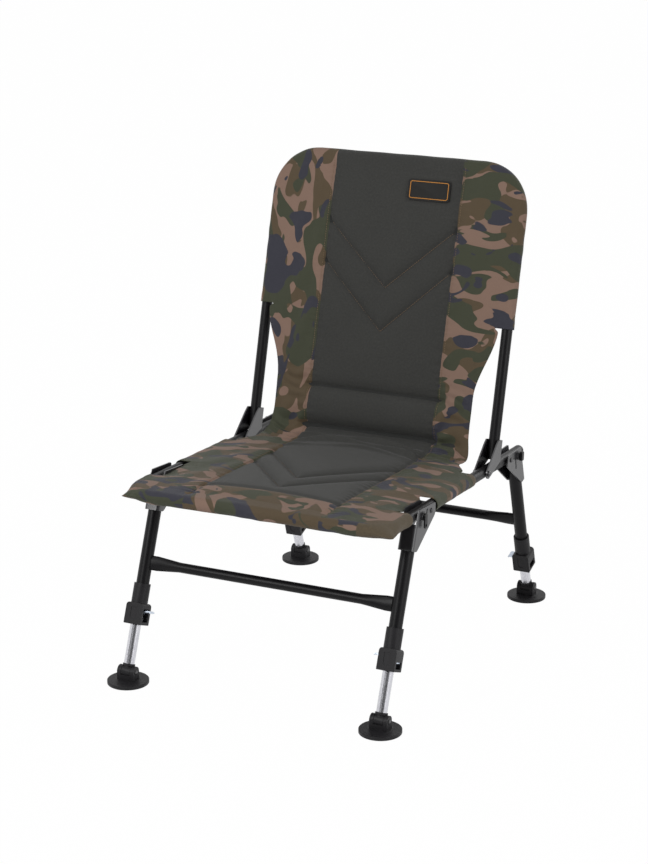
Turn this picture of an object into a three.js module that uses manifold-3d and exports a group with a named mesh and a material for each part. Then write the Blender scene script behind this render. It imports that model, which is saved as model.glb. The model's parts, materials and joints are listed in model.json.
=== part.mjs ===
import * as THREE from 'three';
import { mergeVertices } from 'three/addons/utils/BufferGeometryUtils.js';
import Module from 'manifold-3d';

// Low folding fishing chair on four telescopic legs, in millimetres, +Z up, front towards -Y.
// A hoop of tube carries the seat, a second hoop hinged to it carries the back, and a front and
// a rear leg frame fold in under the seat on stamped channel brackets.

const wasm = await Module();
wasm.setup();

// Driving dimensions of the whole chair
const TUBE_SPACING = 460;
const RAIL_HEIGHT = 324;
const LEG_BASE = 441;
const SEAT_TILT = 3.06;
const SEAT_OVERHANG = 112;
const RAIL_TAIL = 28;
const FRONT_SPLAY = 19;
const REAR_SPLAY = 21;
const BACK_HEIGHT = 510;
const BACK_RECLINE = 12;
const BACK_PIVOT_FROM_FRONT = 296;
const PIVOT_OFFSET = 42;

// Tubes
const RAIL_DIAMETER = 19;
const RAIL_WALL = 1.5;
const BACK_DIAMETER = 19;
const BACK_WALL = 1.5;
const LEG_DIAMETER = 22;
const LEG_WALL = 1.5;
const INNER_LEG_DIAMETER = 18;
const INNER_LEG_WALL = 1.2;
const INNER_LEG_LENGTH = 225;
const SEAT_BEND_RADIUS = 45;
const BACK_BEND_RADIUS = 75;
const TUBE_SIDES = 16;
const BEND_STEPS = 5;

// Fits
const SEAT_GAP = 0.3;
const RUNNING_GAP = 0.4;
const OVERRUN = 4;
const MERGE_DISTANCE = 1e-4;

// Cross bars of the leg frames, flattened at the ends where they are welded
const CROSSBAR = {
  drop: 144,
  diameter: 17,
  endHeight: 25,
  endWidth: 9,
  flatLength: 12,
  taperLength: 42,
};

// Stamped channel that joins a leg to the rail
const LEG_BRACKET = {
  sheet: 2.5,
  bend: 6,
  length: 57,
  top: 13,
  inboardReach: 16,
  inboardBottom: 9,
  lipBelowAxis: 4,
  cornerRadius: 5,
  lockOffset: 6,
  grooveWidth: 5,
  grooveDepth: 0.9,
  grooveTop: 8,
  grooveBottom: 22,
  grooveLean: 7,
  grooveFromLock: 17,
  nutAcross: 13,
  nutHeight: 3,
};

const PIVOT_RIVET = { diameter: 6, headDiameter: 9, headHeight: 2.4 };

const LOCK_PIN = {
  diameter: 6,
  reachInRail: 3.2,
  collarDiameter: 10,
  collarHeight: 3,
  tabWidth: 10,
  tabLength: 25,
  tabThickness: 2.5,
  tabHole: 5,
  knobWidth: 10,
  knobLength: 16,
  knobHeight: 5,
};

// Hinge channel at the foot of the back
const BACK_BRACKET = {
  sheet: 2.5,
  bend: 5,
  lobeRadius: 9,
  height: 48,
  kneeDrop: 9,
  kneeReach: 8,
  stopGap: 0.6,
  tubeStart: 16,
  boltDiameter: 6,
  boltHeadDiameter: 11,
  boltHeadHeight: 3.5,
};

// Height lock at the lower end of each outer leg
const LOCK_HOUSING = {
  top: 180,
  sleeveLength: 33,
  blockHeight: 36,
  blockWidth: 31,
  sleeveWall: 2.7,
  wall: 2.5,
  floor: 3,
  roof: 8,
  tubeSeat: 6,
  shoulderRadius: 6,
  footRadius: 1.5,
  innerWindowWidth: 18,
  innerWindowBottom: 5,
  innerWindowTop: 27,
  outerWindowWidth: 20,
  outerWindowBottom: 4.5,
  recessWidth: 11,
  recessBottom: 8,
  recessTop: 29,
  recessDepth: 0.8,
};

const LOCK_LEVER = {
  hingeHeight: 14.5,
  hingeInset: 1.5,
  thickness: 2,
  slope: 15,
  tailWidth: 18,
  bodyWidth: 24,
  tongueWidth: 15,
  tongueReach: 6,
  press: 10,
  lipRadius: 5,
  lipAngle: 70,
  sideGap: 1,
  legSlack: 1.7,
};

const LOCK_SPRING = { wire: 1.2, meanRadius: 10.75, turns: 3.5, stepsPerTurn: 8, wireSides: 4 };

// Swivelling foot
const FOOT = {
  discDiameter: 70,
  discThickness: 6,
  rimRadius: 2,
  hubDiameter: 44,
  hubRise: 1,
  pivotHeight: 20,
  earGap: 17,
  earThickness: 7,
  earRadius: 10,
  saddleTop: 16,
  pinDiameter: 5,
  pinHeadDiameter: 8,
  pinHeadHeight: 1.2,
  treadRingCount: 1,
  treadWidth: 4,
  treadDepth: 1.5,
  treadPitch: 20,
};

const KNUCKLE = {
  barrelRadius: 10,
  collarDiameter: 21,
  collarBottom: 9,
  collarTop: 13,
  socketFloor: 10.8,
  spigotTop: 24,
};

// End caps in the open rear ends of the rails
const END_CAP = { plugLength: 9, plugGap: 0.3, domeHeight: 5 };

// Padded covers
const COVER = { sleeveWall: 1.2, waistInset: 43 };

const SEAT_PAD = {
  panelHalfWidth: 120,
  cutSideGap: 3.9,
  cutFrontGap: 9.2,
  cutRearGap: 14,
  cutStep: 1,
  sleeveEndGap: 58,
  frontLip: 9,
  frontFold: 4,
  frontWidthIn: 2,
  foldAhead: 4,
  tailLength: 30,
  tailTop: 6,
  tailThickness: 4,
  edgeTop: 9.5,
  crown: 10,
  sideCrown: 4,
  underside: 2,
  groove: 3,
  seamGroove: 2,
  grooveHalfWidth: 5,
  frontSeam: -46,
  chevronRun: 145,
  frontChevronTip: -14,
  rearChevronTip: 50,
};

const BACK_PAD = {
  panelHalfWidth: 122,
  flareInset: 16,
  bottom: 12,
  waistTop: 112,
  flareTop: 200,
  sleeveBottom: 238,
  frontEdge: 9.5,
  crown: 6,
  crownTop: 400,
  sideCrown: 3,
  rearFace: 2.5,
  groove: 3,
  seamGroove: 2,
  grooveHalfWidth: 5,
  lowerSeam: 32,
  waistSeam: 102,
  chevronRun: 110,
  lowerChevronTip: 209,
  upperChevronTip: 286,
};

const BADGE = {
  width: 79,
  height: 37,
  centreX: 63.5,
  centreBelowTop: 49,
  thickness: 1.6,
  cornerRadius: 4,
  borderWidth: 2,
  borderInset: 2.5,
  borderHeight: 0.6,
};

const ROUND = { fine: 20, medium: 14, small: 8, corner: 3, curl: 4 };

const COLOURS = {
  blackPaint: { color: 0x1b1b1d, roughness: 0.35, metalness: 0.6 },
  bracketPaint: { color: 0x2c2c31, roughness: 0.4, metalness: 0.6 },
  blackPlastic: { color: 0x222226, roughness: 0.6, metalness: 0 },
  chrome: { color: 0xd5d6d8, roughness: 0.15, metalness: 1 },
  zinc: { color: 0xb9c3cc, roughness: 0.35, metalness: 0.9 },
  patternCloth: { color: 0x6b5a49, roughness: 0.9, metalness: 0 },
  rubber: { color: 0x1c1c1e, roughness: 0.7, metalness: 0 },
};

// Values that follow from the driving dimensions
const radians = THREE.MathUtils.degToRad;
const HALF_SPACING = TUBE_SPACING / 2;
const RAIL_RADIUS = RAIL_DIAMETER / 2;
const BACK_RADIUS = BACK_DIAMETER / 2;
const LEG_RADIUS = LEG_DIAMETER / 2;
const INNER_LEG_RADIUS = INNER_LEG_DIAMETER / 2;
const SLEEVE_RADIUS = RAIL_RADIUS + SEAT_GAP + COVER.sleeveWall;
const BACK_SLEEVE_RADIUS = BACK_RADIUS + SEAT_GAP + COVER.sleeveWall;
const LEG_CHANNEL_HALF = LEG_RADIUS + SEAT_GAP;
const LEG_CHEEK_FACE = LEG_CHANNEL_HALF + LEG_BRACKET.sheet;
const BACK_CHANNEL_HALF = BACK_RADIUS + SEAT_GAP;
const BACK_CHEEK_FACE = BACK_CHANNEL_HALF + BACK_BRACKET.sheet;
const BACK_FOOT = BACK_PIVOT_FROM_FRONT + PIVOT_OFFSET;
const BLOCK_BOTTOM = LOCK_HOUSING.top + LOCK_HOUSING.sleeveLength + LOCK_HOUSING.blockHeight;
const RAIL_REAR = LEG_BASE + RAIL_TAIL;
const WAIST_HALF_WIDTH = HALF_SPACING - COVER.waistInset;
const FLARE_HALF_WIDTH = HALF_SPACING - BACK_PAD.flareInset;
const BADGE_UP = BACK_HEIGHT - BADGE.centreBelowTop;

// The seat cover leaves the rails bare at the leg brackets and again at the hinge of the back
const RIVET_FACE = LEG_CHEEK_FACE + SEAT_GAP + PIVOT_RIVET.headHeight;
const CUT_HALF_WIDTH = HALF_SPACING - RIVET_FACE - SEAT_PAD.cutSideGap;
const CUT_FRONT = -LEG_CHEEK_FACE - SEAT_PAD.cutFrontGap;
const CUT_REAR = PIVOT_OFFSET + LEG_BRACKET.inboardReach + SEAT_PAD.cutRearGap;
const SLEEVE_REAR = BACK_PIVOT_FROM_FRONT - SEAT_PAD.sleeveEndGap;
const SEAT_FOLD = BACK_PIVOT_FROM_FRONT - SEAT_PAD.foldAhead;

// Helpers

function toSolid(geometry) {
  const bare = geometry.clone();
  bare.deleteAttribute('normal');
  bare.deleteAttribute('uv');
  const merged = mergeVertices(bare, MERGE_DISTANCE);
  return new wasm.Manifold(new wasm.Mesh({
    numProp: 3,
    vertProperties: new Float32Array(merged.attributes.position.array),
    triVerts: new Uint32Array(merged.index.array),
  }));
}

function toGeometry(solid) {
  const mesh = solid.getMesh();
  const geometry = new THREE.BufferGeometry();
  geometry.setAttribute('position', new THREE.BufferAttribute(new Float32Array(mesh.vertProperties), 3));
  geometry.setIndex(new THREE.BufferAttribute(new Uint32Array(mesh.triVerts), 1));
  return geometry;
}

function combine(base, { add = [], cut = [] }) {
  let solid = toSolid(base);
  for (const piece of add) {
    solid = solid.add(toSolid(piece));
  }
  for (const piece of cut) {
    solid = solid.subtract(toSolid(piece));
  }
  return toGeometry(solid);
}

function intersect(first, second) {
  return toGeometry(toSolid(first).intersect(toSolid(second)));
}

function addPiece(parent, name, geometry, colour) {
  const shaded = geometry.index ? geometry.toNonIndexed() : geometry;
  shaded.computeVertexNormals();
  const mesh = new THREE.Mesh(shaded, new THREE.MeshStandardMaterial(COLOURS[colour]));
  mesh.name = name;
  parent.add(mesh);
  return mesh;
}

function addGroup(parent, name, x, y, z, turnX = 0) {
  const group = new THREE.Group();
  group.name = name;
  group.position.set(x, y, z);
  group.rotation.x = radians(turnX);
  parent.add(group);
  return group;
}

// A cylinder along Z between two heights
function post(radius, bottom, top, sides = ROUND.medium) {
  const geometry = new THREE.CylinderGeometry(radius, radius, top - bottom, sides);
  geometry.rotateX(Math.PI / 2);
  geometry.translate(0, 0, (bottom + top) / 2);
  return geometry;
}

// A cylinder along X between two places
function bar(radius, from, to, sides = ROUND.medium) {
  const geometry = post(radius, from, to, sides);
  geometry.rotateY(Math.PI / 2);
  return geometry;
}

function slab(xFrom, xTo, yFrom, yTo, zFrom, zTo) {
  const geometry = new THREE.BoxGeometry(xTo - xFrom, yTo - yFrom, zTo - zFrom);
  geometry.translate((xFrom + xTo) / 2, (yFrom + yTo) / 2, (zFrom + zTo) / 2);
  return geometry;
}

// A solid of revolution about Z from [radius, height] pairs that start and end on the axis
function turned(profile, sides = ROUND.fine) {
  const geometry = new THREE.LatheGeometry(profile.map(([r, z]) => new THREE.Vector2(r, z)), sides);
  geometry.rotateX(Math.PI / 2);
  return geometry;
}

function roundedShape(corners) {
  const shape = new THREE.Shape();
  const count = corners.length;
  corners.forEach(([x, y, radius = 0], index) => {
    const here = new THREE.Vector2(x, y);
    const before = new THREE.Vector2(...corners[(index + count - 1) % count].slice(0, 2)).sub(here);
    const after = new THREE.Vector2(...corners[(index + 1) % count].slice(0, 2)).sub(here);
    const limit = Math.min(before.length(), after.length()) / 2;
    const cut = Math.min(radius, limit);
    const start = here.clone().add(before.setLength(cut));
    const end = here.clone().add(after.setLength(cut));
    if (index === 0) {
      shape.moveTo(start.x, start.y);
    } else {
      shape.lineTo(start.x, start.y);
    }
    if (cut > 0) {
      shape.quadraticCurveTo(x, y, end.x, end.y);
    }
  });
  shape.closePath();
  return shape;
}

function circleShape(radius) {
  const shape = new THREE.Shape();
  shape.absarc(0, 0, radius, 0, Math.PI * 2, false);
  return shape;
}

// Extrudes a side outline of [along Y, along Z] points across X, centred on x = 0
function across(shape, width, curveSegments = ROUND.corner) {
  const geometry = new THREE.ExtrudeGeometry(shape, { depth: width, bevelEnabled: false, curveSegments });
  geometry.translate(0, 0, -width / 2);
  geometry.rotateY(Math.PI / 2);
  geometry.rotateX(Math.PI / 2);
  return geometry;
}

// Stations with their own tangents, so that a sweep has rings only where the tube needs them
class StationCurve extends THREE.Curve {
  constructor(points, tangents) {
    super();
    this.points = points;
    this.tangents = tangents;
  }

  getPoint(t, target = new THREE.Vector3()) {
    const place = t * (this.points.length - 1);
    const index = Math.min(Math.floor(place), this.points.length - 2);
    return target.lerpVectors(this.points[index], this.points[index + 1], place - index);
  }

  getPointAt(u, target) {
    return this.getPoint(u, target);
  }

  getTangentAt(u, target = new THREE.Vector3()) {
    return target.copy(this.tangents[Math.round(u * (this.tangents.length - 1))]);
  }
}

// A hoop of two straight arms and two bends, in the plane of X and a second axis
function hoopCurve(reachAxis, half, near, far, radius) {
  const sense = Math.sign(far - near);
  const points = [];
  const tangents = [];
  const place = (x, reach) => new THREE.Vector3(x, 0, 0).addScaledVector(reachAxis, reach);
  const station = (x, reach, alongX, alongReach) => {
    points.push(place(x, reach));
    tangents.push(place(alongX, alongReach).normalize());
  };
  station(half, near, 0, sense);
  for (const side of [1, -1]) {
    for (let step = 0; step <= BEND_STEPS; step += 1) {
      const share = side > 0 ? step / BEND_STEPS : 1 - step / BEND_STEPS;
      const angle = share * Math.PI / 2;
      const x = half - radius + radius * Math.cos(angle);
      const reach = far - sense * radius * (1 - Math.sin(angle));
      station(side * x, reach, -Math.sin(angle), side * sense * Math.cos(angle));
    }
  }
  station(-half, near, 0, -sense);
  return new StationCurve(points, tangents);
}

function sweep(curve, radius, boreRadius, sides = TUBE_SIDES) {
  const ring = (r) => Array.from({ length: sides }, (_, i) => {
    const angle = (i / sides) * Math.PI * 2;
    return new THREE.Vector2(r * Math.cos(angle), r * Math.sin(angle));
  });
  const shape = new THREE.Shape(ring(radius));
  if (boreRadius > 0) {
    shape.holes.push(new THREE.Path(ring(boreRadius)));
  }
  return new THREE.ExtrudeGeometry(shape, {
    steps: curve.points.length - 1,
    extrudePath: curve,
    bevelEnabled: false,
  });
}

function straightTube(radius, wall, bottom, top, sides = TUBE_SIDES) {
  const shape = circleShape(radius);
  shape.holes.push(circleShape(radius - wall));
  const depth = top - bottom;
  const geometry = new THREE.ExtrudeGeometry(shape, {
    depth,
    bevelEnabled: false,
    curveSegments: sides / 2,
  });
  geometry.translate(0, 0, bottom);
  return geometry;
}

// Skins rings of equal length and closes both ends on their centres
function loft(rings) {
  const size = rings[0].length;
  const vertices = rings.flat();
  const index = [];
  for (let r = 0; r < rings.length - 1; r += 1) {
    for (let i = 0; i < size; i += 1) {
      const a = r * size + i;
      const b = r * size + ((i + 1) % size);
      index.push(a, b, b + size, a, b + size, a + size);
    }
  }
  const centre = (ring) => (
    ring.reduce((sum, p) => sum.add(p), new THREE.Vector3()).divideScalar(ring.length)
  );
  const first = vertices.push(centre(rings[0])) - 1;
  const last = vertices.push(centre(rings[rings.length - 1])) - 1;
  const lastStart = (rings.length - 1) * size;
  for (let i = 0; i < size; i += 1) {
    const next = (i + 1) % size;
    index.push(first, next, i);
    index.push(last, lastStart + i, lastStart + next);
  }
  const geometry = new THREE.BufferGeometry().setFromPoints(vertices);
  geometry.setIndex(index);
  return geometry;
}

// Seat frame, in a group whose Y runs back along the rail from the front legs and Z is square to it

const ALONG_Y = new THREE.Vector3(0, 1, 0);
const ALONG_Z = new THREE.Vector3(0, 0, 1);

function railHole(at, from, to) {
  const hole = bar(PIVOT_RIVET.diameter / 2 + SEAT_GAP, from, to, ROUND.small);
  hole.translate(0, at, 0);
  return hole;
}

function seatHoop() {
  const curve = hoopCurve(ALONG_Y, HALF_SPACING, RAIL_REAR, -SEAT_OVERHANG, SEAT_BEND_RADIUS);
  const tube = sweep(curve, RAIL_RADIUS, RAIL_RADIUS - RAIL_WALL);
  const holes = [];
  for (const side of [1, -1]) {
    const inner = side * (HALF_SPACING - RAIL_RADIUS - OVERRUN);
    const outer = side * (HALF_SPACING + RAIL_RADIUS + OVERRUN);
    for (const at of [PIVOT_OFFSET, LEG_BASE - PIVOT_OFFSET, BACK_PIVOT_FROM_FRONT]) {
      holes.push(railHole(at, Math.min(inner, outer), Math.max(inner, outer)));
    }
    for (const at of [LEG_BRACKET.lockOffset, LEG_BASE - LEG_BRACKET.lockOffset]) {
      const middle = side * HALF_SPACING;
      holes.push(railHole(at, Math.min(middle, outer), Math.max(middle, outer)));
    }
  }
  return combine(tube, { cut: holes });
}

function endCap() {
  const plug = RAIL_RADIUS - RAIL_WALL - END_CAP.plugGap;
  const crownRadius = RAIL_RADIUS * Math.SQRT1_2;
  const shoulder = END_CAP.domeHeight * Math.SQRT1_2;
  const cap = turned([
    [0, -END_CAP.plugLength],
    [plug, -END_CAP.plugLength],
    [plug, SEAT_GAP],
    [RAIL_RADIUS, SEAT_GAP],
    [RAIL_RADIUS, SEAT_GAP + END_CAP.domeHeight - shoulder],
    [crownRadius, SEAT_GAP + shoulder],
    [0, SEAT_GAP + END_CAP.domeHeight],
  ], ROUND.medium);
  cap.rotateX(-Math.PI / 2);
  return cap;
}

// Leg brackets. The outline is drawn with +Y towards the middle of the seat and turned for the rear.

function legChannel(splay, facing) {
  const b = LEG_BRACKET;
  const lean = radians(splay);
  const face = LEG_CHEEK_FACE;
  const down = [-Math.sin(lean), -Math.cos(lean)];
  const outward = [-Math.cos(lean), Math.sin(lean)];
  const onWeb = (t) => [outward[0] * face + down[0] * t, outward[1] * face + down[1] * t];
  const topT = (face * Math.sin(lean) - b.top) / Math.cos(lean);
  const webTop = onWeb(topT);
  const webFoot = onWeb(b.length);
  const lip = down.map((part, axis) => part * b.length - outward[axis] * b.lipBelowAxis);
  const reach = PIVOT_OFFSET + b.inboardReach;
  const outline = [
    [webTop[0], webTop[1], b.cornerRadius],
    [webFoot[0], webFoot[1], 0],
    [lip[0], lip[1], b.cornerRadius],
    [reach, -b.inboardBottom, b.cornerRadius],
    [reach, b.top - b.sheet, b.cornerRadius],
  ].map(([y, z, radius]) => [facing * y, z, radius]);
  const plate = across(roundedShape(outline), face * 2);

  // The bent sheet, seen along the leg
  const deep = reach + face;
  const sheetOutline = new THREE.Shape();
  sheetOutline.moveTo(-face, deep);
  sheetOutline.lineTo(-face, -face + b.bend);
  sheetOutline.absarc(-face + b.bend, -face + b.bend, b.bend, Math.PI, Math.PI * 1.5, false);
  sheetOutline.absarc(face - b.bend, -face + b.bend, b.bend, Math.PI * 1.5, Math.PI * 2, false);
  sheetOutline.lineTo(face, deep);
  sheetOutline.closePath();
  const length = b.length + deep;
  const bent = new THREE.ExtrudeGeometry(sheetOutline, {
    depth: length * 2,
    bevelEnabled: false,
    curveSegments: ROUND.corner,
  });
  bent.translate(0, 0, -length);
  const inner = slab(-LEG_CHANNEL_HALF, LEG_CHANNEL_HALF, -LEG_CHANNEL_HALF, deep * 2, -length, length);
  const turn = -facing * lean;
  for (const piece of [bent, inner]) {
    if (facing < 0) {
      piece.rotateZ(Math.PI);
    }
    piece.rotateX(turn);
  }
  const railClear = slab(
    -LEG_CHANNEL_HALF,
    LEG_CHANNEL_HALF,
    -deep,
    deep,
    -RAIL_RADIUS - SEAT_GAP,
    b.top + OVERRUN,
  );
  return { plate, bent, inner, railClear };
}

function boltHole(diameter, at, reach) {
  const hole = bar(diameter / 2 + SEAT_GAP, -reach, reach, ROUND.small);
  hole.translate(0, at, 0);
  return hole;
}

// Right-hand bracket; facing is 1 where the seat lies behind the leg and -1 where it lies ahead
function legBracket(splay, facing) {
  const b = LEG_BRACKET;
  const { plate, bent, inner, railClear } = legChannel(splay, facing);
  const nutRadius = b.nutAcross / 2 / Math.cos(Math.PI / 6);
  const nut = bar(nutRadius, LEG_CHEEK_FACE - b.sheet / 2, LEG_CHEEK_FACE + b.nutHeight, 6);
  nut.translate(0, facing * b.lockOffset, 0);
  const grooveAt = b.lockOffset + b.grooveFromLock;
  const half = b.grooveWidth / 2;
  const groove = across(roundedShape([
    [facing * (grooveAt - half), b.grooveTop, half],
    [facing * (grooveAt - half - b.grooveLean), -b.grooveBottom, half],
    [facing * (grooveAt + half - b.grooveLean), -b.grooveBottom, half],
    [facing * (grooveAt + half), b.grooveTop, half],
  ]), b.grooveDepth * 2);
  groove.translate(LEG_CHEEK_FACE, 0, 0);
  const shell = combine(intersect(plate, bent), { cut: [inner, railClear, groove] });
  return combine(shell, {
    add: [nut],
    cut: [
      boltHole(PIVOT_RIVET.diameter, facing * PIVOT_OFFSET, LEG_CHEEK_FACE * 2),
      boltHole(LOCK_PIN.diameter, facing * b.lockOffset, LEG_CHEEK_FACE * 2),
    ],
  });
}

// Reflects a piece of the right-hand side across the chair
function reflected(geometry) {
  const copy = mergeVertices(geometry.clone());
  copy.scale(-1, 1, 1);
  const order = copy.index.array;
  for (let i = 0; i < order.length; i += 3) {
    const keep = order[i];
    order[i] = order[i + 1];
    order[i + 1] = keep;
  }
  return copy;
}

function sided(geometry, side) {
  return side > 0 ? geometry : reflected(geometry);
}

// Rivet or bolt through both cheeks and the rail, with a head on each side
function crossBolt(cheekFace, diameter, headDiameter, headHeight) {
  const face = cheekFace + SEAT_GAP;
  const crown = headDiameter / 4;
  const profile = [
    [0, -face - headHeight],
    [crown, -face - headHeight],
    [headDiameter / 2, -face - headHeight / 3],
    [headDiameter / 2, -face],
    [diameter / 2, -face],
    [diameter / 2, face],
    [headDiameter / 2, face],
    [headDiameter / 2, face + headHeight / 3],
    [crown, face + headHeight],
    [0, face + headHeight],
  ];
  const bolt = turned(profile, ROUND.small);
  bolt.rotateY(Math.PI / 2);
  return bolt;
}

// Sprung pin that enters the rail and holds the leg open, drawn for the right-hand side
function lockPin(withTab) {
  const p = LOCK_PIN;
  const collarFrom = LEG_CHEEK_FACE + LEG_BRACKET.nutHeight + SEAT_GAP;
  const collarTo = collarFrom + p.collarHeight;
  const shank = bar(p.diameter / 2, RAIL_RADIUS - p.reachInRail, collarTo, ROUND.small);
  const collar = bar(p.collarDiameter / 2, collarFrom, collarTo, ROUND.small);
  if (!withTab) {
    const width = p.knobWidth / 2;
    const reach = p.knobLength / 2;
    const corner = p.knobHeight / 2;
    const knob = across(roundedShape([
      [-width, reach, corner],
      [width, reach, corner],
      [width, -reach, corner],
      [-width, -reach, corner],
    ]), p.knobHeight);
    knob.translate(collarFrom + p.knobHeight / 2, 0, 0);
    return combine(shank, { add: [knob] });
  }
  const half = p.tabWidth / 2;
  const tab = across(roundedShape([
    [-half, half, half],
    [half, half, half],
    [half, half - p.tabLength, half],
    [-half, half - p.tabLength, half],
  ]), p.tabThickness);
  tab.translate(collarTo - p.tabThickness / 2, 0, 0);
  const eye = bar(p.tabHole / 2, collarFrom - OVERRUN, collarTo + OVERRUN, ROUND.small);
  eye.translate(0, 0, p.tabWidth - p.tabLength);
  return combine(shank, { add: [collar, tab], cut: [eye] });
}

// Leg frame, in a group whose origin is on the rail axis and whose -Z runs down the legs

function legTubeTop(splay) {
  const lean = radians(splay);
  return (RAIL_RADIUS + RUNNING_GAP + LEG_RADIUS * Math.sin(lean)) / Math.cos(lean);
}

function legTube(splay) {
  const seat = LOCK_HOUSING.roof - LOCK_HOUSING.tubeSeat;
  const bottom = -BLOCK_BOTTOM + LOCK_HOUSING.blockHeight - LOCK_HOUSING.roof + seat + SEAT_GAP;
  return straightTube(LEG_RADIUS, LEG_WALL, bottom, -legTubeTop(splay));
}

function crossbar() {
  const c = CROSSBAR;
  const half = HALF_SPACING;
  const saddle = half - Math.sqrt(LEG_RADIUS ** 2 - (c.endWidth / 2) ** 2);
  const flatEnd = saddle - c.flatLength;
  const stations = [
    [half - LEG_WALL, c.endHeight, c.endWidth],
    [flatEnd, c.endHeight, c.endWidth],
    [flatEnd - c.taperLength / 2, (c.endHeight + c.diameter) / 2, (c.endWidth + c.diameter) / 2],
    [flatEnd - c.taperLength, c.diameter, c.diameter],
  ];
  const mirrored = stations.map(([x, tall, wide]) => [-x, tall, wide]).reverse();
  const rings = [...stations, ...mirrored].reverse().map(([x, tall, wide]) => (
    Array.from({ length: ROUND.medium }, (_, i) => {
      const angle = (i / ROUND.medium) * Math.PI * 2;
      return new THREE.Vector3(x, (wide / 2) * Math.cos(angle), (tall / 2) * Math.sin(angle));
    })
  ));
  const saddles = [half, -half].map((x) => {
    const cut = post(LEG_RADIUS + SEAT_GAP, -c.endHeight, c.endHeight, TUBE_SIDES);
    cut.translate(x, 0, 0);
    return cut;
  });
  return combine(loft(rings), { cut: saddles });
}

// Height lock, in a group at the block's lower face; drawn with the inner side towards +X

function lockHousing() {
  const h = LOCK_HOUSING;
  const half = h.blockWidth / 2;
  const cavity = half - h.wall;
  const profile = roundedShape([
    [-half, 0, h.footRadius],
    [half, 0, h.footRadius],
    [half, h.blockHeight, h.shoulderRadius],
    [-half, h.blockHeight, h.shoulderRadius],
  ]);
  const block = new THREE.ExtrudeGeometry(profile, {
    depth: h.blockWidth,
    bevelEnabled: false,
    curveSegments: ROUND.corner,
  });
  block.translate(0, 0, -half);
  block.rotateX(Math.PI / 2);
  const sleeveRadius = LEG_RADIUS + SEAT_GAP + h.sleeveWall;
  const sleeve = post(sleeveRadius, h.blockHeight - h.roof, h.blockHeight + h.sleeveLength, ROUND.fine);
  const roofUnder = h.blockHeight - h.roof;
  const tubeSeat = h.blockHeight - h.tubeSeat;
  const outerTop = LOCK_LEVER.hingeHeight + LOCK_LEVER.thickness / 2 + SEAT_GAP;
  const innerWindow = h.innerWindowWidth / 2;
  const outerWindow = h.outerWindowWidth / 2;
  const recessHalf = h.recessWidth / 2;
  const recesses = [1, -1].map((side) => {
    const recess = new THREE.ExtrudeGeometry(roundedShape([
      [-recessHalf, h.recessBottom, recessHalf],
      [recessHalf, h.recessBottom, recessHalf],
      [recessHalf, h.recessTop, 0],
      [-recessHalf, h.recessTop, 0],
    ]), { depth: h.recessDepth * 2, bevelEnabled: false, curveSegments: ROUND.corner });
    recess.translate(0, 0, side * half - h.recessDepth);
    recess.rotateX(Math.PI / 2);
    return recess;
  });
  return combine(block, {
    add: [sleeve],
    cut: [
      ...recesses,
      slab(-cavity, cavity, -cavity, cavity, h.floor, roofUnder),
      post(INNER_LEG_RADIUS + RUNNING_GAP, -OVERRUN, h.blockHeight, ROUND.medium),
      post(LEG_RADIUS + SEAT_GAP, tubeSeat, h.blockHeight + h.sleeveLength + OVERRUN, ROUND.medium),
      slab(0, half + OVERRUN, -innerWindow, innerWindow, h.innerWindowBottom, h.innerWindowTop),
      slab(-half - OVERRUN, 0, -outerWindow, outerWindow, h.outerWindowBottom, outerTop),
    ],
  });
}

function lockLever() {
  const v = LOCK_LEVER;
  const h = LOCK_HOUSING;
  const half = h.blockWidth / 2;
  const slope = radians(v.slope);
  const cavity = half - h.wall - v.sideGap;
  const along = (x) => (x + half - v.hingeInset) / Math.cos(slope);
  const tail = along(-cavity);
  const body = along(cavity);
  const tongue = along(half + v.tongueReach);
  const plan = roundedShape([
    [0, -v.tailWidth / 2],
    [tail, -v.tailWidth / 2],
    [tail, -v.bodyWidth / 2],
    [body, -v.bodyWidth / 2, v.thickness],
    [body, -v.tongueWidth / 2],
    [tongue, -v.tongueWidth / 2],
    [tongue, v.tongueWidth / 2],
    [body, v.tongueWidth / 2],
    [body, v.bodyWidth / 2, v.thickness],
    [tail, v.bodyWidth / 2],
    [tail, v.tailWidth / 2],
    [0, v.tailWidth / 2],
  ]);
  const plate = new THREE.ExtrudeGeometry(plan, {
    depth: v.thickness,
    bevelEnabled: false,
    curveSegments: ROUND.corner,
  });
  plate.translate(0, 0, -v.thickness / 2);
  const eye = post(INNER_LEG_RADIUS + RUNNING_GAP, -OVERRUN, OVERRUN);
  eye.scale((INNER_LEG_RADIUS + v.legSlack) / INNER_LEG_RADIUS, 1, 1);
  eye.translate(along(0), 0, 0);

  // The lip at the tip of the tongue curls down
  const sweepAngle = radians(v.lipAngle);
  const lip = new THREE.Shape();
  const outer = v.lipRadius + v.thickness / 2;
  const bore = v.lipRadius - v.thickness / 2;
  lip.absarc(0, 0, outer, Math.PI / 2, Math.PI / 2 - sweepAngle, true);
  lip.absarc(0, 0, bore, Math.PI / 2 - sweepAngle, Math.PI / 2, false);
  lip.closePath();
  const curl = new THREE.ExtrudeGeometry(lip, {
    depth: v.tongueWidth,
    bevelEnabled: false,
    curveSegments: ROUND.curl,
  });
  curl.translate(tongue, -v.lipRadius, -v.tongueWidth / 2);
  curl.rotateX(Math.PI / 2);
  const lever = combine(plate, { add: [curl], cut: [eye] });
  lever.rotateY(-slope);
  return lever;
}

// Height of the lever's underside when it is pressed; drawn with the inner side towards +X
function pressedUnderside(x) {
  const v = LOCK_LEVER;
  const slope = radians(v.slope - v.press);
  const fromHinge = x + LOCK_HOUSING.blockWidth / 2 - v.hingeInset;
  return v.hingeHeight + fromHinge * Math.tan(slope) - v.thickness / 2 / Math.cos(slope);
}

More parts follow.
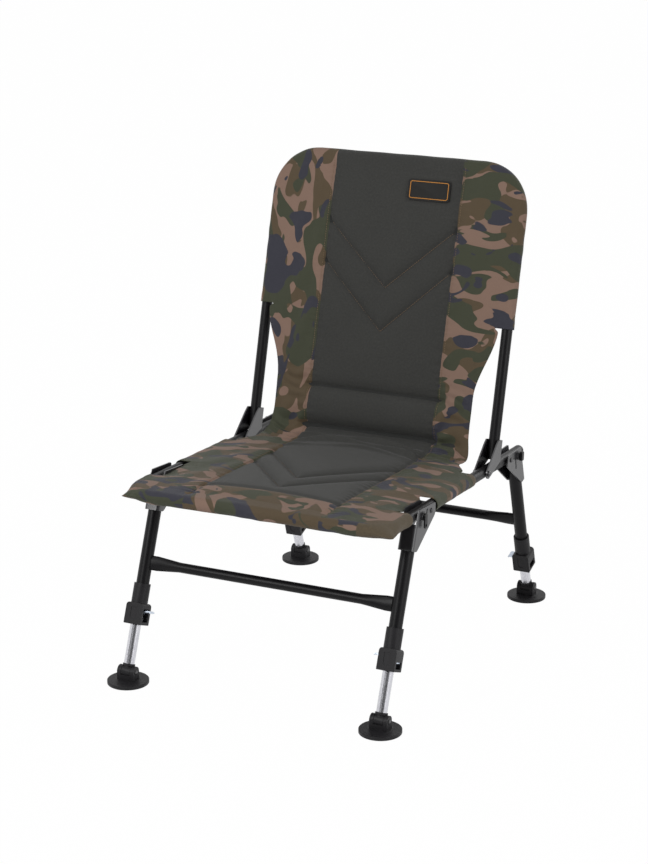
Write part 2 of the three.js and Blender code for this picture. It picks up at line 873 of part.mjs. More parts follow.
// Coil that leans as the pressed lever does, so that it is clear of it at both ends of its travel
function lockSpring() {
  const s = LOCK_SPRING;
  const steps = Math.round(s.turns * s.stepsPerTurn);
  const bottom = LOCK_HOUSING.floor + SEAT_GAP + s.wire / 2;
  const centre = (step) => {
    const angle = (step / s.stepsPerTurn) * Math.PI * 2;
    const x = s.meanRadius * Math.cos(angle);
    const rise = pressedUnderside(x - s.wire) - SEAT_GAP - s.wire / 2 - bottom;
    return new THREE.Vector3(x, s.meanRadius * Math.sin(angle), bottom + (step / steps) * rise);
  };
  const up = new THREE.Vector3(0, 0, 1);
  const centres = Array.from({ length: steps + 1 }, (_, i) => centre(i));
  const rings = centres.map((point) => {
    const outward = new THREE.Vector3(point.x, point.y, 0).normalize();
    return Array.from({ length: s.wireSides }, (_, i) => {
      const angle = (i / s.wireSides) * Math.PI * 2;
      return point.clone()
        .addScaledVector(outward, (s.wire / 2) * Math.cos(angle))
        .addScaledVector(up, (s.wire / 2) * Math.sin(angle));
    });
  });
  let least = Infinity;
  for (let i = 0; i < centres.length; i += 1) {
    for (let j = i + s.stepsPerTurn / 2; j < centres.length; j += 1) {
      least = Math.min(least, centres[i].distanceTo(centres[j]) - s.wire);
    }
  }
  return { geometry: loft(rings.reverse()), least };
}

// Inner leg and foot. The leg's group is at the foot pivot with +Z up the leg.

function innerLeg() {
  const bottom = KNUCKLE.socketFloor + SEAT_GAP;
  return straightTube(INNER_LEG_RADIUS, INNER_LEG_WALL, bottom, bottom + INNER_LEG_LENGTH);
}

function footKnuckle() {
  const k = KNUCKLE;
  const half = FOOT.earGap / 2 - RUNNING_GAP;
  const barrel = bar(k.barrelRadius, -half, half, ROUND.medium);
  const neck = post(half, 0, k.socketFloor, ROUND.medium);
  const collar = post(k.collarDiameter / 2, k.collarBottom, k.collarTop, ROUND.medium);
  const socket = post(INNER_LEG_RADIUS + SEAT_GAP, k.socketFloor, k.collarTop + OVERRUN, ROUND.medium);
  const hole = bar(FOOT.pinDiameter / 2 + SEAT_GAP, -FOOT.earGap, FOOT.earGap, ROUND.small);
  const clearEars = [1, -1].map((side) => {
    const outer = side * FOOT.earGap * 2;
    const edge = side * half;
    const radius = FOOT.earRadius + RUNNING_GAP;
    return bar(radius, Math.min(edge, outer), Math.max(edge, outer), ROUND.medium);
  });
  const shell = combine(barrel, { add: [neck, collar], cut: [socket, hole, ...clearEars] });
  const bore = INNER_LEG_RADIUS - INNER_LEG_WALL;
  const spigot = post(bore - SEAT_GAP, k.collarBottom, k.spigotTop, ROUND.small);
  return combine(shell, { add: [spigot] });
}

function footPin() {
  const reach = FOOT.earGap / 2 + FOOT.earThickness;
  return crossBolt(reach, FOOT.pinDiameter, FOOT.pinHeadDiameter, FOOT.pinHeadHeight);
}

function footDisc() {
  const f = FOOT;
  const radius = f.discDiameter / 2;
  const hub = f.hubDiameter / 2;
  const top = f.discThickness;
  const profile = [
    [0, 0],
    [radius - f.rimRadius, 0],
    [radius, f.rimRadius],
    [radius, top - f.rimRadius],
    [radius - f.rimRadius * 2, top],
    [hub, top],
    [hub - f.hubRise * 2, top + f.hubRise],
    [0, top + f.hubRise],
  ];
  const disc = turned(profile, ROUND.fine);
  const ears = [1, -1].map((side) => {
    const depth = f.earRadius;
    const shape = new THREE.Shape();
    shape.moveTo(-depth, top / 2);
    shape.lineTo(depth, top / 2);
    shape.lineTo(depth, f.pivotHeight);
    shape.absarc(0, f.pivotHeight, depth, 0, Math.PI, false);
    shape.closePath();
    const ear = across(shape, f.earThickness, ROUND.corner * 2);
    ear.translate(side * (f.earGap + f.earThickness) / 2, 0, 0);
    return ear;
  });
  const saddle = slab(-f.earGap / 2, f.earGap / 2, -f.earRadius, f.earRadius, top / 2, f.saddleTop);
  const hole = bar(f.pinDiameter / 2 + SEAT_GAP, -radius, radius, ROUND.small);
  hole.translate(0, 0, f.pivotHeight);
  const under = KNUCKLE.barrelRadius + RUNNING_GAP;
  const scoop = bar(under, -f.earGap / 2, f.earGap / 2, ROUND.medium);
  scoop.translate(0, 0, f.pivotHeight);
  const treads = Array.from({ length: f.treadRingCount }, (_, i) => {
    const middle = f.treadPitch * (i + 1);
    const ring = circleShape(middle + f.treadWidth / 2);
    ring.holes.push(circleShape(middle - f.treadWidth / 2));
    const tread = new THREE.ExtrudeGeometry(ring, {
      depth: f.treadDepth + OVERRUN,
      bevelEnabled: false,
      curveSegments: ROUND.medium / 2,
    });
    tread.translate(0, 0, -OVERRUN);
    return tread;
  });
  return combine(disc, { add: [...ears, saddle], cut: [hole, scoop, ...treads] });
}

// Back frame, in a group at the pivot whose Z runs up the back tubes and Y is square to them

function backHoop() {
  const curve = hoopCurve(ALONG_Z, HALF_SPACING, BACK_BRACKET.tubeStart, BACK_HEIGHT, BACK_BEND_RADIUS);
  return sweep(curve, BACK_RADIUS, BACK_RADIUS - BACK_WALL);
}

// Drawn in rail directions with the pivot at the origin, for the right-hand side
function backBracket() {
  const b = BACK_BRACKET;
  const lean = radians(BACK_RECLINE);
  const up = [Math.sin(lean), Math.cos(lean)];
  const rear = [Math.cos(lean), -Math.sin(lean)];
  const at = (height, offset) => [
    PIVOT_OFFSET + up[0] * height + rear[0] * offset,
    up[1] * height + rear[1] * offset,
  ];
  const face = BACK_CHEEK_FACE;

  // The web ends level, just clear of the rail that stops the back
  const stop = RAIL_RADIUS + b.stopGap;
  const footAt = (offset) => at((stop - rear[1] * offset) / up[1], offset);
  const lobe = new THREE.Shape();
  const knee = at(b.height - b.kneeDrop, -face - b.kneeReach + BACK_BRACKET.sheet);
  const frontTop = at(b.height, -BACK_RADIUS);
  const rearTop = at(b.height, face);
  const rearFoot = footAt(face);
  const webFoot = footAt(BACK_RADIUS);
  const start = Math.atan2(webFoot[1], webFoot[0]) - Math.acos(b.lobeRadius / Math.hypot(...webFoot));
  const finish = Math.atan2(knee[1], knee[0]) + Math.acos(b.lobeRadius / Math.hypot(...knee));
  lobe.moveTo(...webFoot);
  lobe.lineTo(...rearFoot);
  lobe.lineTo(...rearTop);
  lobe.lineTo(...frontTop);
  lobe.lineTo(...knee);
  lobe.absarc(0, 0, b.lobeRadius, finish, start + Math.PI * 2, false);
  lobe.closePath();
  const plate = across(lobe, face * 2, ROUND.medium);
  const deep = PIVOT_OFFSET + face * 2;
  const sheetOutline = new THREE.Shape();
  sheetOutline.moveTo(-face, -deep);
  sheetOutline.lineTo(face, -deep);
  sheetOutline.lineTo(face, face - b.bend);
  sheetOutline.absarc(face - b.bend, face - b.bend, b.bend, 0, Math.PI / 2, false);
  sheetOutline.absarc(-face + b.bend, face - b.bend, b.bend, Math.PI / 2, Math.PI, false);
  sheetOutline.closePath();
  const bent = new THREE.ExtrudeGeometry(sheetOutline, {
    depth: deep * 2,
    bevelEnabled: false,
    curveSegments: ROUND.corner,
  });
  bent.translate(0, 0, -deep);
  const inner = slab(-BACK_CHANNEL_HALF, BACK_CHANNEL_HALF, -deep * 2, BACK_CHANNEL_HALF, -deep, deep);
  for (const piece of [bent, inner]) {
    piece.rotateX(-lean);
    piece.translate(0, PIVOT_OFFSET, 0);
  }
  const hole = boltHole(b.boltDiameter, 0, face * 2);
  return combine(intersect(plate, bent), { cut: [inner, hole] });
}

// Padded covers. Each is a loft of rings across X, joined to the sleeves that wrap the tubes.

function smooth(from, to, value) {
  const share = THREE.MathUtils.clamp((value - from) / (to - from), 0, 1);
  return share * share * (3 - 2 * share);
}

// Columns between the middle and the seam, and between the seam and the edge
const PANEL_COLUMN_SHARES = [0, 0.35, 0.7];
const BORDER_COLUMN_SHARES = [0.3, 0.7, 1];

// Rows round the top bends of the back
const TOP_ROW_SHARES = [0, 0.45, 0.75, 0.92];

function columnPlaces(pad, edge) {
  const g = pad.grooveHalfWidth;
  const inPanel = PANEL_COLUMN_SHARES.map((share) => share * pad.panelHalfWidth);
  const seam = [pad.panelHalfWidth - g, pad.panelHalfWidth, pad.panelHalfWidth + g];
  const outer = pad.panelHalfWidth + g;
  const inBorder = BORDER_COLUMN_SHARES.map((share) => outer + share * (edge - outer));
  const right = [...inPanel, ...seam, ...inBorder];
  return [...right.slice(1).reverse().map((x) => -x), ...right];
}

// Height of the padding over its edge: two side borders and a fuller middle panel, sewn between
function padCrown(pad, x, edge) {
  const away = Math.abs(x);
  const seam = pad.seamGroove * (1 - smooth(0, pad.grooveHalfWidth, Math.abs(away - pad.panelHalfWidth)));
  if (away <= pad.panelHalfWidth) {
    const share = away / pad.panelHalfWidth;
    return pad.sideCrown + (pad.crown - pad.sideCrown) * (1 - share ** 2) - seam;
  }
  const share = (away - pad.panelHalfWidth) / (edge - pad.panelHalfWidth);
  return pad.sideCrown * (1 - share ** 2) - seam;
}

// A row gives its place at the panel's seams and at the middle, and 1 where it is sewn down
function row(edge, tip = edge, sewn = 0) {
  return { edge, tip, sewn };
}

function chevron(pad, tip) {
  const g = pad.grooveHalfWidth;
  const edge = tip + pad.chevronRun;
  return [row(edge - g, tip - g), row(edge, tip, 1), row(edge + g, tip + g)];
}

// Rows at given edge places whose middles follow between two other rows
function rowsBetween(first, last, edges) {
  return edges.map((edge) => {
    const share = (edge - first.edge) / (last.edge - first.edge);
    return row(edge, first.tip + share * (last.tip - first.tip));
  });
}

function rowPlace(pad, { edge, tip }, x) {
  return tip + (edge - tip) * Math.min(Math.abs(x) / pad.panelHalfWidth, 1);
}

function sewnDepth(pad, { sewn }, x) {
  return sewn && Math.abs(x) < pad.panelHalfWidth ? pad.groove : 0;
}

function seatHalfWidth(y) {
  if (y > SLEEVE_REAR) {
    return HALF_SPACING - COVER.waistInset * smooth(SLEEVE_REAR, SEAT_FOLD, y);
  }
  const inCut = y > CUT_FRONT && y < CUT_REAR;
  return inCut ? CUT_HALF_WIDTH : HALF_SPACING;
}

function seatPad() {
  const p = SEAT_PAD;
  const g = p.grooveHalfWidth;
  const front = -SEAT_OVERHANG - p.frontLip;
  const seam = row(p.frontSeam, p.frontSeam, 1);
  const frontChevron = chevron(p, p.frontChevronTip);
  const rearChevron = chevron(p, p.rearChevronTip);
  const sleeveEnd = row(SLEEVE_REAR);
  const cuts = [CUT_FRONT, CUT_FRONT + p.cutStep, CUT_REAR - p.cutStep, CUT_REAR];
  const tail = SEAT_FOLD + p.tailLength;
  const rows = [
    row(front),
    row(-SEAT_OVERHANG),
    row(-SEAT_OVERHANG + RAIL_DIAMETER),
    row(p.frontSeam - g),
    seam,
    ...rowsBetween(seam, frontChevron[0], cuts),
    ...frontChevron,
    ...rearChevron,
    ...rowsBetween(rearChevron[2], sleeveEnd, [(rearChevron[2].edge + sleeveEnd.edge) / 2]),
    sleeveEnd,
    row((SLEEVE_REAR + SEAT_FOLD) / 2),
    row(SEAT_FOLD),
    row(tail),
  ];
  const rise = (y) => smooth(front, p.frontSeam, y) * (1 - smooth(SLEEVE_REAR, tail, y));
  const rings = rows.map((each, index) => {
    const atFront = index === 0;
    const atTail = index === rows.length - 1;
    const half = seatHalfWidth(each.edge) - (atFront ? p.frontWidthIn : 0);
    const base = atTail ? p.tailTop : p.edgeTop;
    const top = columnPlaces(p, half).map((x) => {
      const y = rowPlace(p, each, x);
      const height = base + (padCrown(p, x, half) - sewnDepth(p, each, x)) * rise(y);
      return new THREE.Vector3(x, y, atFront ? p.underside : height);
    });
    const low = atTail ? p.tailTop - p.tailThickness : p.underside - (atFront ? p.frontFold : 0);
    const bottom = [half, 0, -half].map((x) => new THREE.Vector3(x, rowPlace(p, each, x), low));
    return [...top, ...bottom];
  });
  const frontSleeve = hoopCurve(ALONG_Y, HALF_SPACING, CUT_FRONT, -SEAT_OVERHANG, SEAT_BEND_RADIUS);
  const sleeves = [sweep(frontSleeve, SLEEVE_RADIUS, 0)];
  for (const side of [1, -1]) {
    const sleeve = post(SLEEVE_RADIUS, CUT_REAR, SLEEVE_REAR, TUBE_SIDES);
    sleeve.rotateX(-Math.PI / 2);
    sleeve.translate(side * HALF_SPACING, 0, 0);
    sleeves.push(sleeve);
  }
  const railCurve = hoopCurve(ALONG_Y, HALF_SPACING, RAIL_REAR, -SEAT_OVERHANG, SEAT_BEND_RADIUS);
  const clearance = sweep(railCurve, RAIL_RADIUS + SEAT_GAP, 0);
  return combine(loft(rings), { add: sleeves, cut: [clearance] });
}

function backHalfWidth(z) {
  const p = BACK_PAD;
  const bend = BACK_HEIGHT - BACK_BEND_RADIUS;
  if (z > bend) {
    const rise = Math.min(z - bend, BACK_BEND_RADIUS);
    return HALF_SPACING - BACK_BEND_RADIUS + Math.sqrt(BACK_BEND_RADIUS ** 2 - rise ** 2);
  }
  const flare = (FLARE_HALF_WIDTH - WAIST_HALF_WIDTH) * smooth(p.waistTop, p.flareTop, z);
  return WAIST_HALF_WIDTH + flare + p.flareInset * smooth(p.flareTop, p.sleeveBottom, z);
}

function backRise(z) {
  const p = BACK_PAD;
  return smooth(p.bottom, p.lowerSeam, z) * (1 - smooth(p.crownTop, BACK_HEIGHT, z));
}

function backFront(x, z, half) {
  return BACK_PAD.frontEdge + padCrown(BACK_PAD, x, half) * backRise(z);
}

function backPad() {
  const p = BACK_PAD;
  const g = p.grooveHalfWidth;
  const bend = BACK_HEIGHT - BACK_BEND_RADIUS;
  const waist = row(p.waistTop);
  const lowerChevron = chevron(p, p.lowerChevronTip);
  const upperChevron = chevron(p, p.upperChevronTip);
  const top = row(BACK_HEIGHT);
  const flares = [(p.waistTop + p.flareTop) / 2, p.flareTop, p.sleeveBottom];
  const crownRows = TOP_ROW_SHARES.map((share) => bend + share * BACK_BEND_RADIUS);
  const rows = [
    row(p.bottom),
    row(p.lowerSeam - g),
    row(p.lowerSeam, p.lowerSeam, 1),
    row(p.lowerSeam + g),
    row(p.waistSeam - g),
    row(p.waistSeam, p.waistSeam, 1),
    waist,
    ...rowsBetween(waist, lowerChevron[0], flares),
    ...lowerChevron,
    ...upperChevron,
    ...rowsBetween(upperChevron[2], top, crownRows),
    top,
  ];
  const rings = rows.map((each) => {
    const half = backHalfWidth(each.edge);
    const front = columnPlaces(p, half).map((x) => {
      const z = rowPlace(p, each, x);
      return new THREE.Vector3(x, sewnDepth(p, each, x) * backRise(z) - backFront(x, z, half), z);
    });
    const rear = [half, 0, -half].map((x) => new THREE.Vector3(x, -p.rearFace, rowPlace(p, each, x)));
    return [...front, ...rear];
  });
  const sleeveCurve = hoopCurve(ALONG_Z, HALF_SPACING, p.sleeveBottom, BACK_HEIGHT, BACK_BEND_RADIUS);
  const tubeCurve = hoopCurve(ALONG_Z, HALF_SPACING, BACK_BRACKET.tubeStart, BACK_HEIGHT, BACK_BEND_RADIUS);
  return combine(loft(rings), {
    add: [sweep(sleeveCurve, BACK_SLEEVE_RADIUS, 0)],
    cut: [sweep(tubeCurve, BACK_RADIUS + SEAT_GAP, 0)],
  });
}

// Rubber patch with a raised border, sewn on the panel; its face is bare
function badgePatch() {
  const b = BADGE;
  const corner = (halfWidth, halfHeight, radius) => roundedShape([
    [-halfWidth, -halfHeight, radius],
    [halfWidth, -halfHeight, radius],
    [halfWidth, halfHeight, radius],
    [-halfWidth, halfHeight, radius],
  ]);
  const solid = (shape, depth) => new THREE.ExtrudeGeometry(shape, {
    depth,
    bevelEnabled: false,
    curveSegments: ROUND.corner,
  });
  const halfWidth = b.width / 2;
  const halfHeight = b.height / 2;
  const plate = solid(corner(halfWidth, halfHeight, b.cornerRadius), b.thickness);
  const edge = b.borderInset;
  const frame = corner(halfWidth - edge, halfHeight - edge, b.cornerRadius - edge / 2);
  const bore = edge + b.borderWidth;
  frame.holes.push(corner(halfWidth - bore, halfHeight - bore, b.cornerRadius - bore / 2));
  const border = solid(frame, b.borderHeight + b.thickness / 2);
  border.translate(0, 0, b.thickness / 2);
  const patch = combine(plate, { add: [border] });
  patch.rotateX(Math.PI / 2);
  const corners = [-1, 0, 1].flatMap((u) => [-1, 0, 1].map((v) => (
    backFront(b.centreX + u * halfWidth, BADGE_UP + v * halfHeight, backHalfWidth(BADGE_UP))
  )));
  patch.translate(b.centreX, -Math.max(...corners) - SEAT_GAP, BADGE_UP);
  return patch;
}

// Assembly

const chair = new THREE.Group();
const seat = addGroup(chair, 'seat_frame', 0, 0, RAIL_HEIGHT, -SEAT_TILT);
const SIDES = [['left', -1], ['right', 1]];

addPiece(seat, 'seat_frame_tube', seatHoop(), 'blackPaint');
addPiece(seat, 'seat_cushion', seatPad(), 'patternCloth');
for (const [label, side] of SIDES) {
  const rear = addGroup(seat, `${label}_rail_end`, side * HALF_SPACING, RAIL_REAR, 0);
  addPiece(rear, `rail_end_cap_${label}`, endCap(), 'blackPlastic');
}

const hinge = addGroup(seat, 'backrest_hinge', 0, BACK_PIVOT_FROM_FRONT, 0);
const back = addGroup(seat, 'back_frame', 0, BACK_FOOT, 0, -BACK_RECLINE);
addPiece(back, 'backrest_tube', backHoop(), 'blackPaint');
addPiece(back, 'backrest_cushion', backPad(), 'patternCloth');
addPiece(back, 'badge_patch', badgePatch(), 'rubber');
for (const [label, side] of SIDES) {
  const place = addGroup(hinge, `${label}_hinge`, side * HALF_SPACING, 0, 0);
  addPiece(place, `backrest_bracket_${label}`, sided(backBracket(), side), 'bracketPaint');
  const bolt = BACK_BRACKET;
  addPiece(
    place,
    `backrest_hinge_bolt_${label}`,
    crossBolt(BACK_CHEEK_FACE, bolt.boltDiameter, bolt.boltHeadDiameter, bolt.boltHeadHeight),
    'zinc',
  );
}

const LEG_FRAMES = [
  { end: 'front', facing: 1, along: 0, splay: FRONT_SPLAY, lean: SEAT_TILT + FRONT_SPLAY },
  { end: 'rear', facing: -1, along: LEG_BASE, splay: REAR_SPLAY, lean: SEAT_TILT - REAR_SPLAY },
];
const spring = lockSpring();

function addFoot(leg, name, x, length, lean) {
  const foot = addGroup(leg, `${name}_foot`, x, 0, -length);
  addPiece(foot, `${name}_inner_leg`, innerLeg(), 'chrome');
  addPiece(foot, `${name}_foot_knuckle`, footKnuckle(), 'blackPlastic');
  addPiece(foot, `${name}_foot_pin`, footPin(), 'zinc');
  const level = addGroup(foot, `${name}_foot_swivel`, 0, 0, 0, lean);
  const disc = footDisc();
  disc.translate(0, 0, -FOOT.pivotHeight);
  addPiece(level, `${name}_foot_disc`, disc, 'blackPlastic');
}

function addLock(leg, name, x, side) {
  const lock = addGroup(leg, `${name}_lock`, x, 0, -BLOCK_BOTTOM);
  addPiece(lock, `${name}_lock_housing`, sided(lockHousing(), -side), 'blackPlastic');
  addPiece(lock, `${name}_lock_spring`, sided(spring.geometry.clone(), -side), 'zinc');
  const hingeX = side * (LOCK_HOUSING.blockWidth / 2 - LOCK_LEVER.hingeInset);
  const leverGroup = addGroup(lock, `${name}_lever_hinge`, hingeX, 0, LOCK_LEVER.hingeHeight);
  addPiece(leverGroup, `${name}_lock_lever`, sided(lockLever(), -side), 'zinc');
}

for (const { end, facing, along, splay, lean } of LEG_FRAMES) {
  const frame = addGroup(seat, `${end}_leg_frame`, 0, along, 0);
  const leg = addGroup(frame, `${end}_legs`, 0, 0, 0, -facing * splay);
  const topHeight = RAIL_HEIGHT - along * Math.sin(radians(SEAT_TILT));
  const length = (topHeight - FOOT.pivotHeight) / Math.cos(radians(lean));
  const rung = crossbar();
  rung.translate(0, 0, -CROSSBAR.drop);
  addPiece(leg, `${end}_crossbar`, rung, 'blackPaint');
  for (const [label, side] of SIDES) {
    const name = `${end}_${label}`;
    const x = side * HALF_SPACING;
    const bracket = addGroup(frame, `${name}_bracket_place`, x, 0, 0);
    addPiece(bracket, `${name}_leg_bracket`, sided(legBracket(splay, facing), side), 'bracketPaint');
    const pivot = addGroup(bracket, `${name}_pivot`, 0, facing * PIVOT_OFFSET, 0);
    const r = PIVOT_RIVET;
    addPiece(
      pivot,
      `${name}_pivot_rivet`,
      crossBolt(LEG_CHEEK_FACE, r.diameter, r.headDiameter, r.headHeight),
      'zinc',
    );
    const lockPlace = addGroup(bracket, `${name}_lock_pin_slide`, 0, facing * LEG_BRACKET.lockOffset, 0);
    addPiece(lockPlace, `${name}_lock_pin`, sided(lockPin(end === 'front'), side), 'blackPaint');
    const tube = addGroup(leg, `${name}_leg_place`, x, 0, 0);
    addPiece(tube, `${name}_leg_tube`, legTube(splay), 'blackPaint');
    addLock(leg, name, x, side);
    addFoot(leg, name, x, length, lean);
  }
}

console.log(`lock spring least gap ${spring.least.toFixed(2)} mm`);

// The chair stands on the ground with its origin under the middle of its box
chair.updateMatrixWorld(true);
const box = new THREE.Box3().setFromObject(chair);
const middle = box.getCenter(new THREE.Vector3());
chair.position.set(-middle.x, -middle.y, -box.min.z);
chair.updateMatrixWorld(true);

export default chair;
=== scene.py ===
"""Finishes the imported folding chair: padded cloth cover, thread, paint, plastic, light and camera."""

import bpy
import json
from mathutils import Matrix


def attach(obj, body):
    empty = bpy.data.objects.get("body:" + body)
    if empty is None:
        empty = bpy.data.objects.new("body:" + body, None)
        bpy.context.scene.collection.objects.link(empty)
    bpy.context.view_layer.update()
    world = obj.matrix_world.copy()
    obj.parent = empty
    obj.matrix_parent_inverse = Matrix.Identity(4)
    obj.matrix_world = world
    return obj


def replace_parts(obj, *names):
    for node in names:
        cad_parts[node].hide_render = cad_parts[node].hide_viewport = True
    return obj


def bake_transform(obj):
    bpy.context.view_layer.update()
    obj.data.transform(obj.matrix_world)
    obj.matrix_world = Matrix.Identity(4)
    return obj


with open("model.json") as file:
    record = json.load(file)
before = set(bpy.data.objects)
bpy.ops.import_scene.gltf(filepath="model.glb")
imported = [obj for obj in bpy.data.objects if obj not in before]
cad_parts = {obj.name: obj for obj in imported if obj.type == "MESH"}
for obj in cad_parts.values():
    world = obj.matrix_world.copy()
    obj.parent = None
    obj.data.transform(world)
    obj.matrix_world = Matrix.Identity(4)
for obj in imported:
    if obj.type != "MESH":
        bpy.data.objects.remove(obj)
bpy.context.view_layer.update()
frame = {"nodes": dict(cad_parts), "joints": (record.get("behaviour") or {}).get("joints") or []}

import json
import logging
import math
from contextlib import contextmanager
from dataclasses import asdict, dataclass
from enum import Enum
from typing import Callable, Iterator, Protocol, Sequence

import bpy
import numpy as np
from mathutils import Matrix, Vector
from mathutils.bvhtree import BVHTree

Colour = tuple[float, float, float, float]
Flat = tuple[float, float]
Inputs = dict[str | int, object]
Piece = bpy.types.Object
Socket = bpy.types.NodeSocket

LOG = logging.getLogger("chair")
MILLIMETRE = 0.001
TINY = 1e-6
FACING = 0.9


def linear(red: int, green: int, blue: int) -> Colour:
    """Turns a colour as a screen shows it into the light values that a shader takes.

    Args:
        red: The red part, from 0 to 255.
        green: The green part, from 0 to 255.
        blue: The blue part, from 0 to 255.

    Returns:
        The linear colour with full opacity.
    """
    parts = [((c / 255 + 0.055) / 1.055) ** 2.4 if c > 10 else c / 255 / 12.92 for c in (red, green, blue)]
    return parts[0], parts[1], parts[2], 1.0


def smooth(low: float, high: float, value: float | np.ndarray) -> float | np.ndarray:
    """Eases from 0 at low to 1 at high.

    Args:
        low: Where the result leaves 0.
        high: Where the result reaches 1.
        value: The number or the array to ease.

    Returns:
        The eased share, of the same kind as value.
    """
    share = np.clip((value - low) / (high - low), 0, 1)
    return share * share * (3 - 2 * share)


# Materials


class Value:
    """A number inside a material, so that shader maths reads as Python."""

    def __init__(self, graph: "Graph", socket: Socket) -> None:
        """Wraps an output socket of one of the graph's nodes."""
        self.graph = graph
        self.socket = socket

    def _math(self, operation: str, first: "Value | float", second: "Value | float") -> "Value":
        """Adds a Math node that works on two values."""
        made = self.graph.node("ShaderNodeMath", {"operation": operation}, {0: first, 1: second})
        return Value(self.graph, made.outputs[0])

    def __add__(self, other: "Value | float") -> "Value":
        """Adds."""
        return self._math("ADD", self, other)

    def __radd__(self, other: float) -> "Value":
        """Adds to a plain number."""
        return self._math("ADD", other, self)

    def __sub__(self, other: "Value | float") -> "Value":
        """Subtracts."""
        return self._math("SUBTRACT", self, other)

    def __mul__(self, other: "Value | float") -> "Value":
        """Multiplies."""
        return self._math("MULTIPLY", self, other)

    def sine(self) -> "Value":
        """Takes the sine."""
        return self._math("SINE", self, 0.0)

    def most(self, other: "Value | float") -> "Value":
        """Takes the larger of two."""
        return self._math("MAXIMUM", self, other)

    def eased(self, low: float, high: float) -> "Value":
        """Eases from 0 at low to 1 at high.

        Args:
            low: Where the result leaves 0.
            high: Where the result reaches 1.

        Returns:
            The eased value.
        """
        made = self.graph.node(
            "ShaderNodeMapRange",
            {"interpolation_type": "SMOOTHSTEP"},
            {"Value": self, "From Min": low, "From Max": high},
        )
        return Value(self.graph, made.outputs[0])


@dataclass(frozen=True)
class Noise:
    """A noise: waves per unit, number and strength of its finer layers, and how far it bends itself."""

    scale: float
    detail: float
    roughness: float = 0.5
    distortion: float = 0.0


class Graph:
    """The node graph of a material or of the surroundings."""

    def __init__(self, owner: bpy.types.Material | bpy.types.World, output: str) -> None:
        """Starts the owner's graph afresh.

        Args:
            owner: The material or the world.
            output: The type of its output node.
        """
        owner.use_nodes = True
        self.owner = owner
        self.tree = owner.node_tree
        self.tree.nodes.clear()
        self.output = self.node(output)

    @classmethod
    def of_material(cls, name: str) -> "Graph":
        """Starts an empty material of that name."""
        return cls(bpy.data.materials.new(name), "ShaderNodeOutputMaterial")

    def node(
        self, kind: str, settings: dict[str, object] | None = None, values: Inputs | None = None
    ) -> bpy.types.Node:
        """Adds a node.

        Args:
            kind: The node's type.
            settings: Its settings, which are set first.
            values: Numbers, colours, vectors or links for its inputs.

        Returns:
            The new node.
        """
        made = self.tree.nodes.new(kind)
        for name, value in (settings or {}).items():
            setattr(made, name, value)
        for key, value in (values or {}).items():
            if isinstance(value, Value):
                value = value.socket
            if isinstance(value, Socket):
                self.tree.links.new(value, made.inputs[key])
            else:
                made.inputs[key].default_value = value
        return made

    def place(self, scale: Sequence[float] = (1, 1, 1)) -> Socket:
        """Gives a point's place on the object, in metres times the scale."""
        return self.mapped(self.node("ShaderNodeTexCoord").outputs["Object"], Scale=scale)

    def mapped(self, where: Socket, **values: Sequence[float]) -> Socket:
        """Scales or moves a vector."""
        return self.node("ShaderNodeMapping", values={"Vector": where, **values}).outputs[0]

    def laid(self, name: str) -> Socket:
        """Gives the place on a piece's own flat pattern, in metres."""
        return self.node("ShaderNodeUVMap", {"uv_map": name}).outputs[0]

    def noise(self, where: Socket, noise: Noise) -> Value:
        """Adds a noise texture.

        Args:
            where: The vector it reads.
            noise: Its settings.

        Returns:
            The noise, from 0 to 1.
        """
        numbers = {name.capitalize(): value for name, value in asdict(noise).items()}
        made = self.node("ShaderNodeTexNoise", values={"Vector": where, **numbers})
        return Value(self, made.outputs["Fac"])

    def mix(self, share: Value | float, first: object, second: object, blend: str = "MIX") -> Socket:
        """Mixes two colours.

        Args:
            share: The share of the second.
            first: The first colour.
            second: The second colour.
            blend: How they are mixed.

        Returns:
            The mixed colour.
        """
        settings = {"data_type": "RGBA", "blend_type": blend}
        return self.node("ShaderNodeMix", settings, {0: share, 6: first, 7: second}).outputs[2]

    def axis(self, where: Socket, name: str) -> Value:
        """Takes one axis of a vector."""
        return Value(self, self.node("ShaderNodeSeparateXYZ", values={0: where}).outputs[name])

    def bump(self, height: Value, distance: float, strength: float, under: Socket | None = None) -> Socket:
        """Adds a bump.

        Args:
            height: The height map.
            distance: The height of 1, in metres.
            strength: Its strength, from 0 to 1.
            under: The normal of a bump beneath it.

        Returns:
            The bent normal.
        """
        values: Inputs = {"Height": height, "Distance": distance, "Strength": strength}
        if under is not None:
            values["Normal"] = under
        return self.node("ShaderNodeBump", values=values).outputs[0]

    def end(self, shader: bpy.types.Node) -> None:
        """Leads a shader to the output."""
        self.tree.links.new(shader.outputs[0], self.output.inputs["Surface"])


class Recipe(Protocol):
    """How one finish is made."""

    def inputs(self, graph: Graph) -> Inputs:
        """Draws the finish in a graph and gives the inputs of its shader."""


@dataclass(frozen=True)
class Paint:
    """Stoved paint on steel, with a fine orange-peel and light scuffs."""

    colour: Colour
    worn: Colour
    roughness: float
    peel: float
    shine: float
    scuffs: Noise = Noise(55, 6, 0.7)
    clouds: Noise = Noise(9, 3)
    grains: Noise = Noise(620, 2)

    def inputs(self, graph: Graph) -> Inputs:
        """Draws scuffs, a cloudy gloss and the peel.

        Args:
            graph: The graph to draw in.

        Returns:
            The inputs of the shader.
        """
        where = graph.place()
        scuff = graph.noise(where, self.scuffs).eased(0.6, 0.78)
        cloudy = graph.noise(where, self.clouds)
        peel = graph.noise(where, self.grains)
        return {
            "Base Color": graph.mix(scuff * 0.35, self.colour, self.worn),
            "Roughness": self.roughness + scuff * 0.18 + (cloudy - 0.5) * 0.12,
            "Normal": graph.bump(peel, self.peel, 0.6),
            "Specular IOR Level": self.shine,
        }


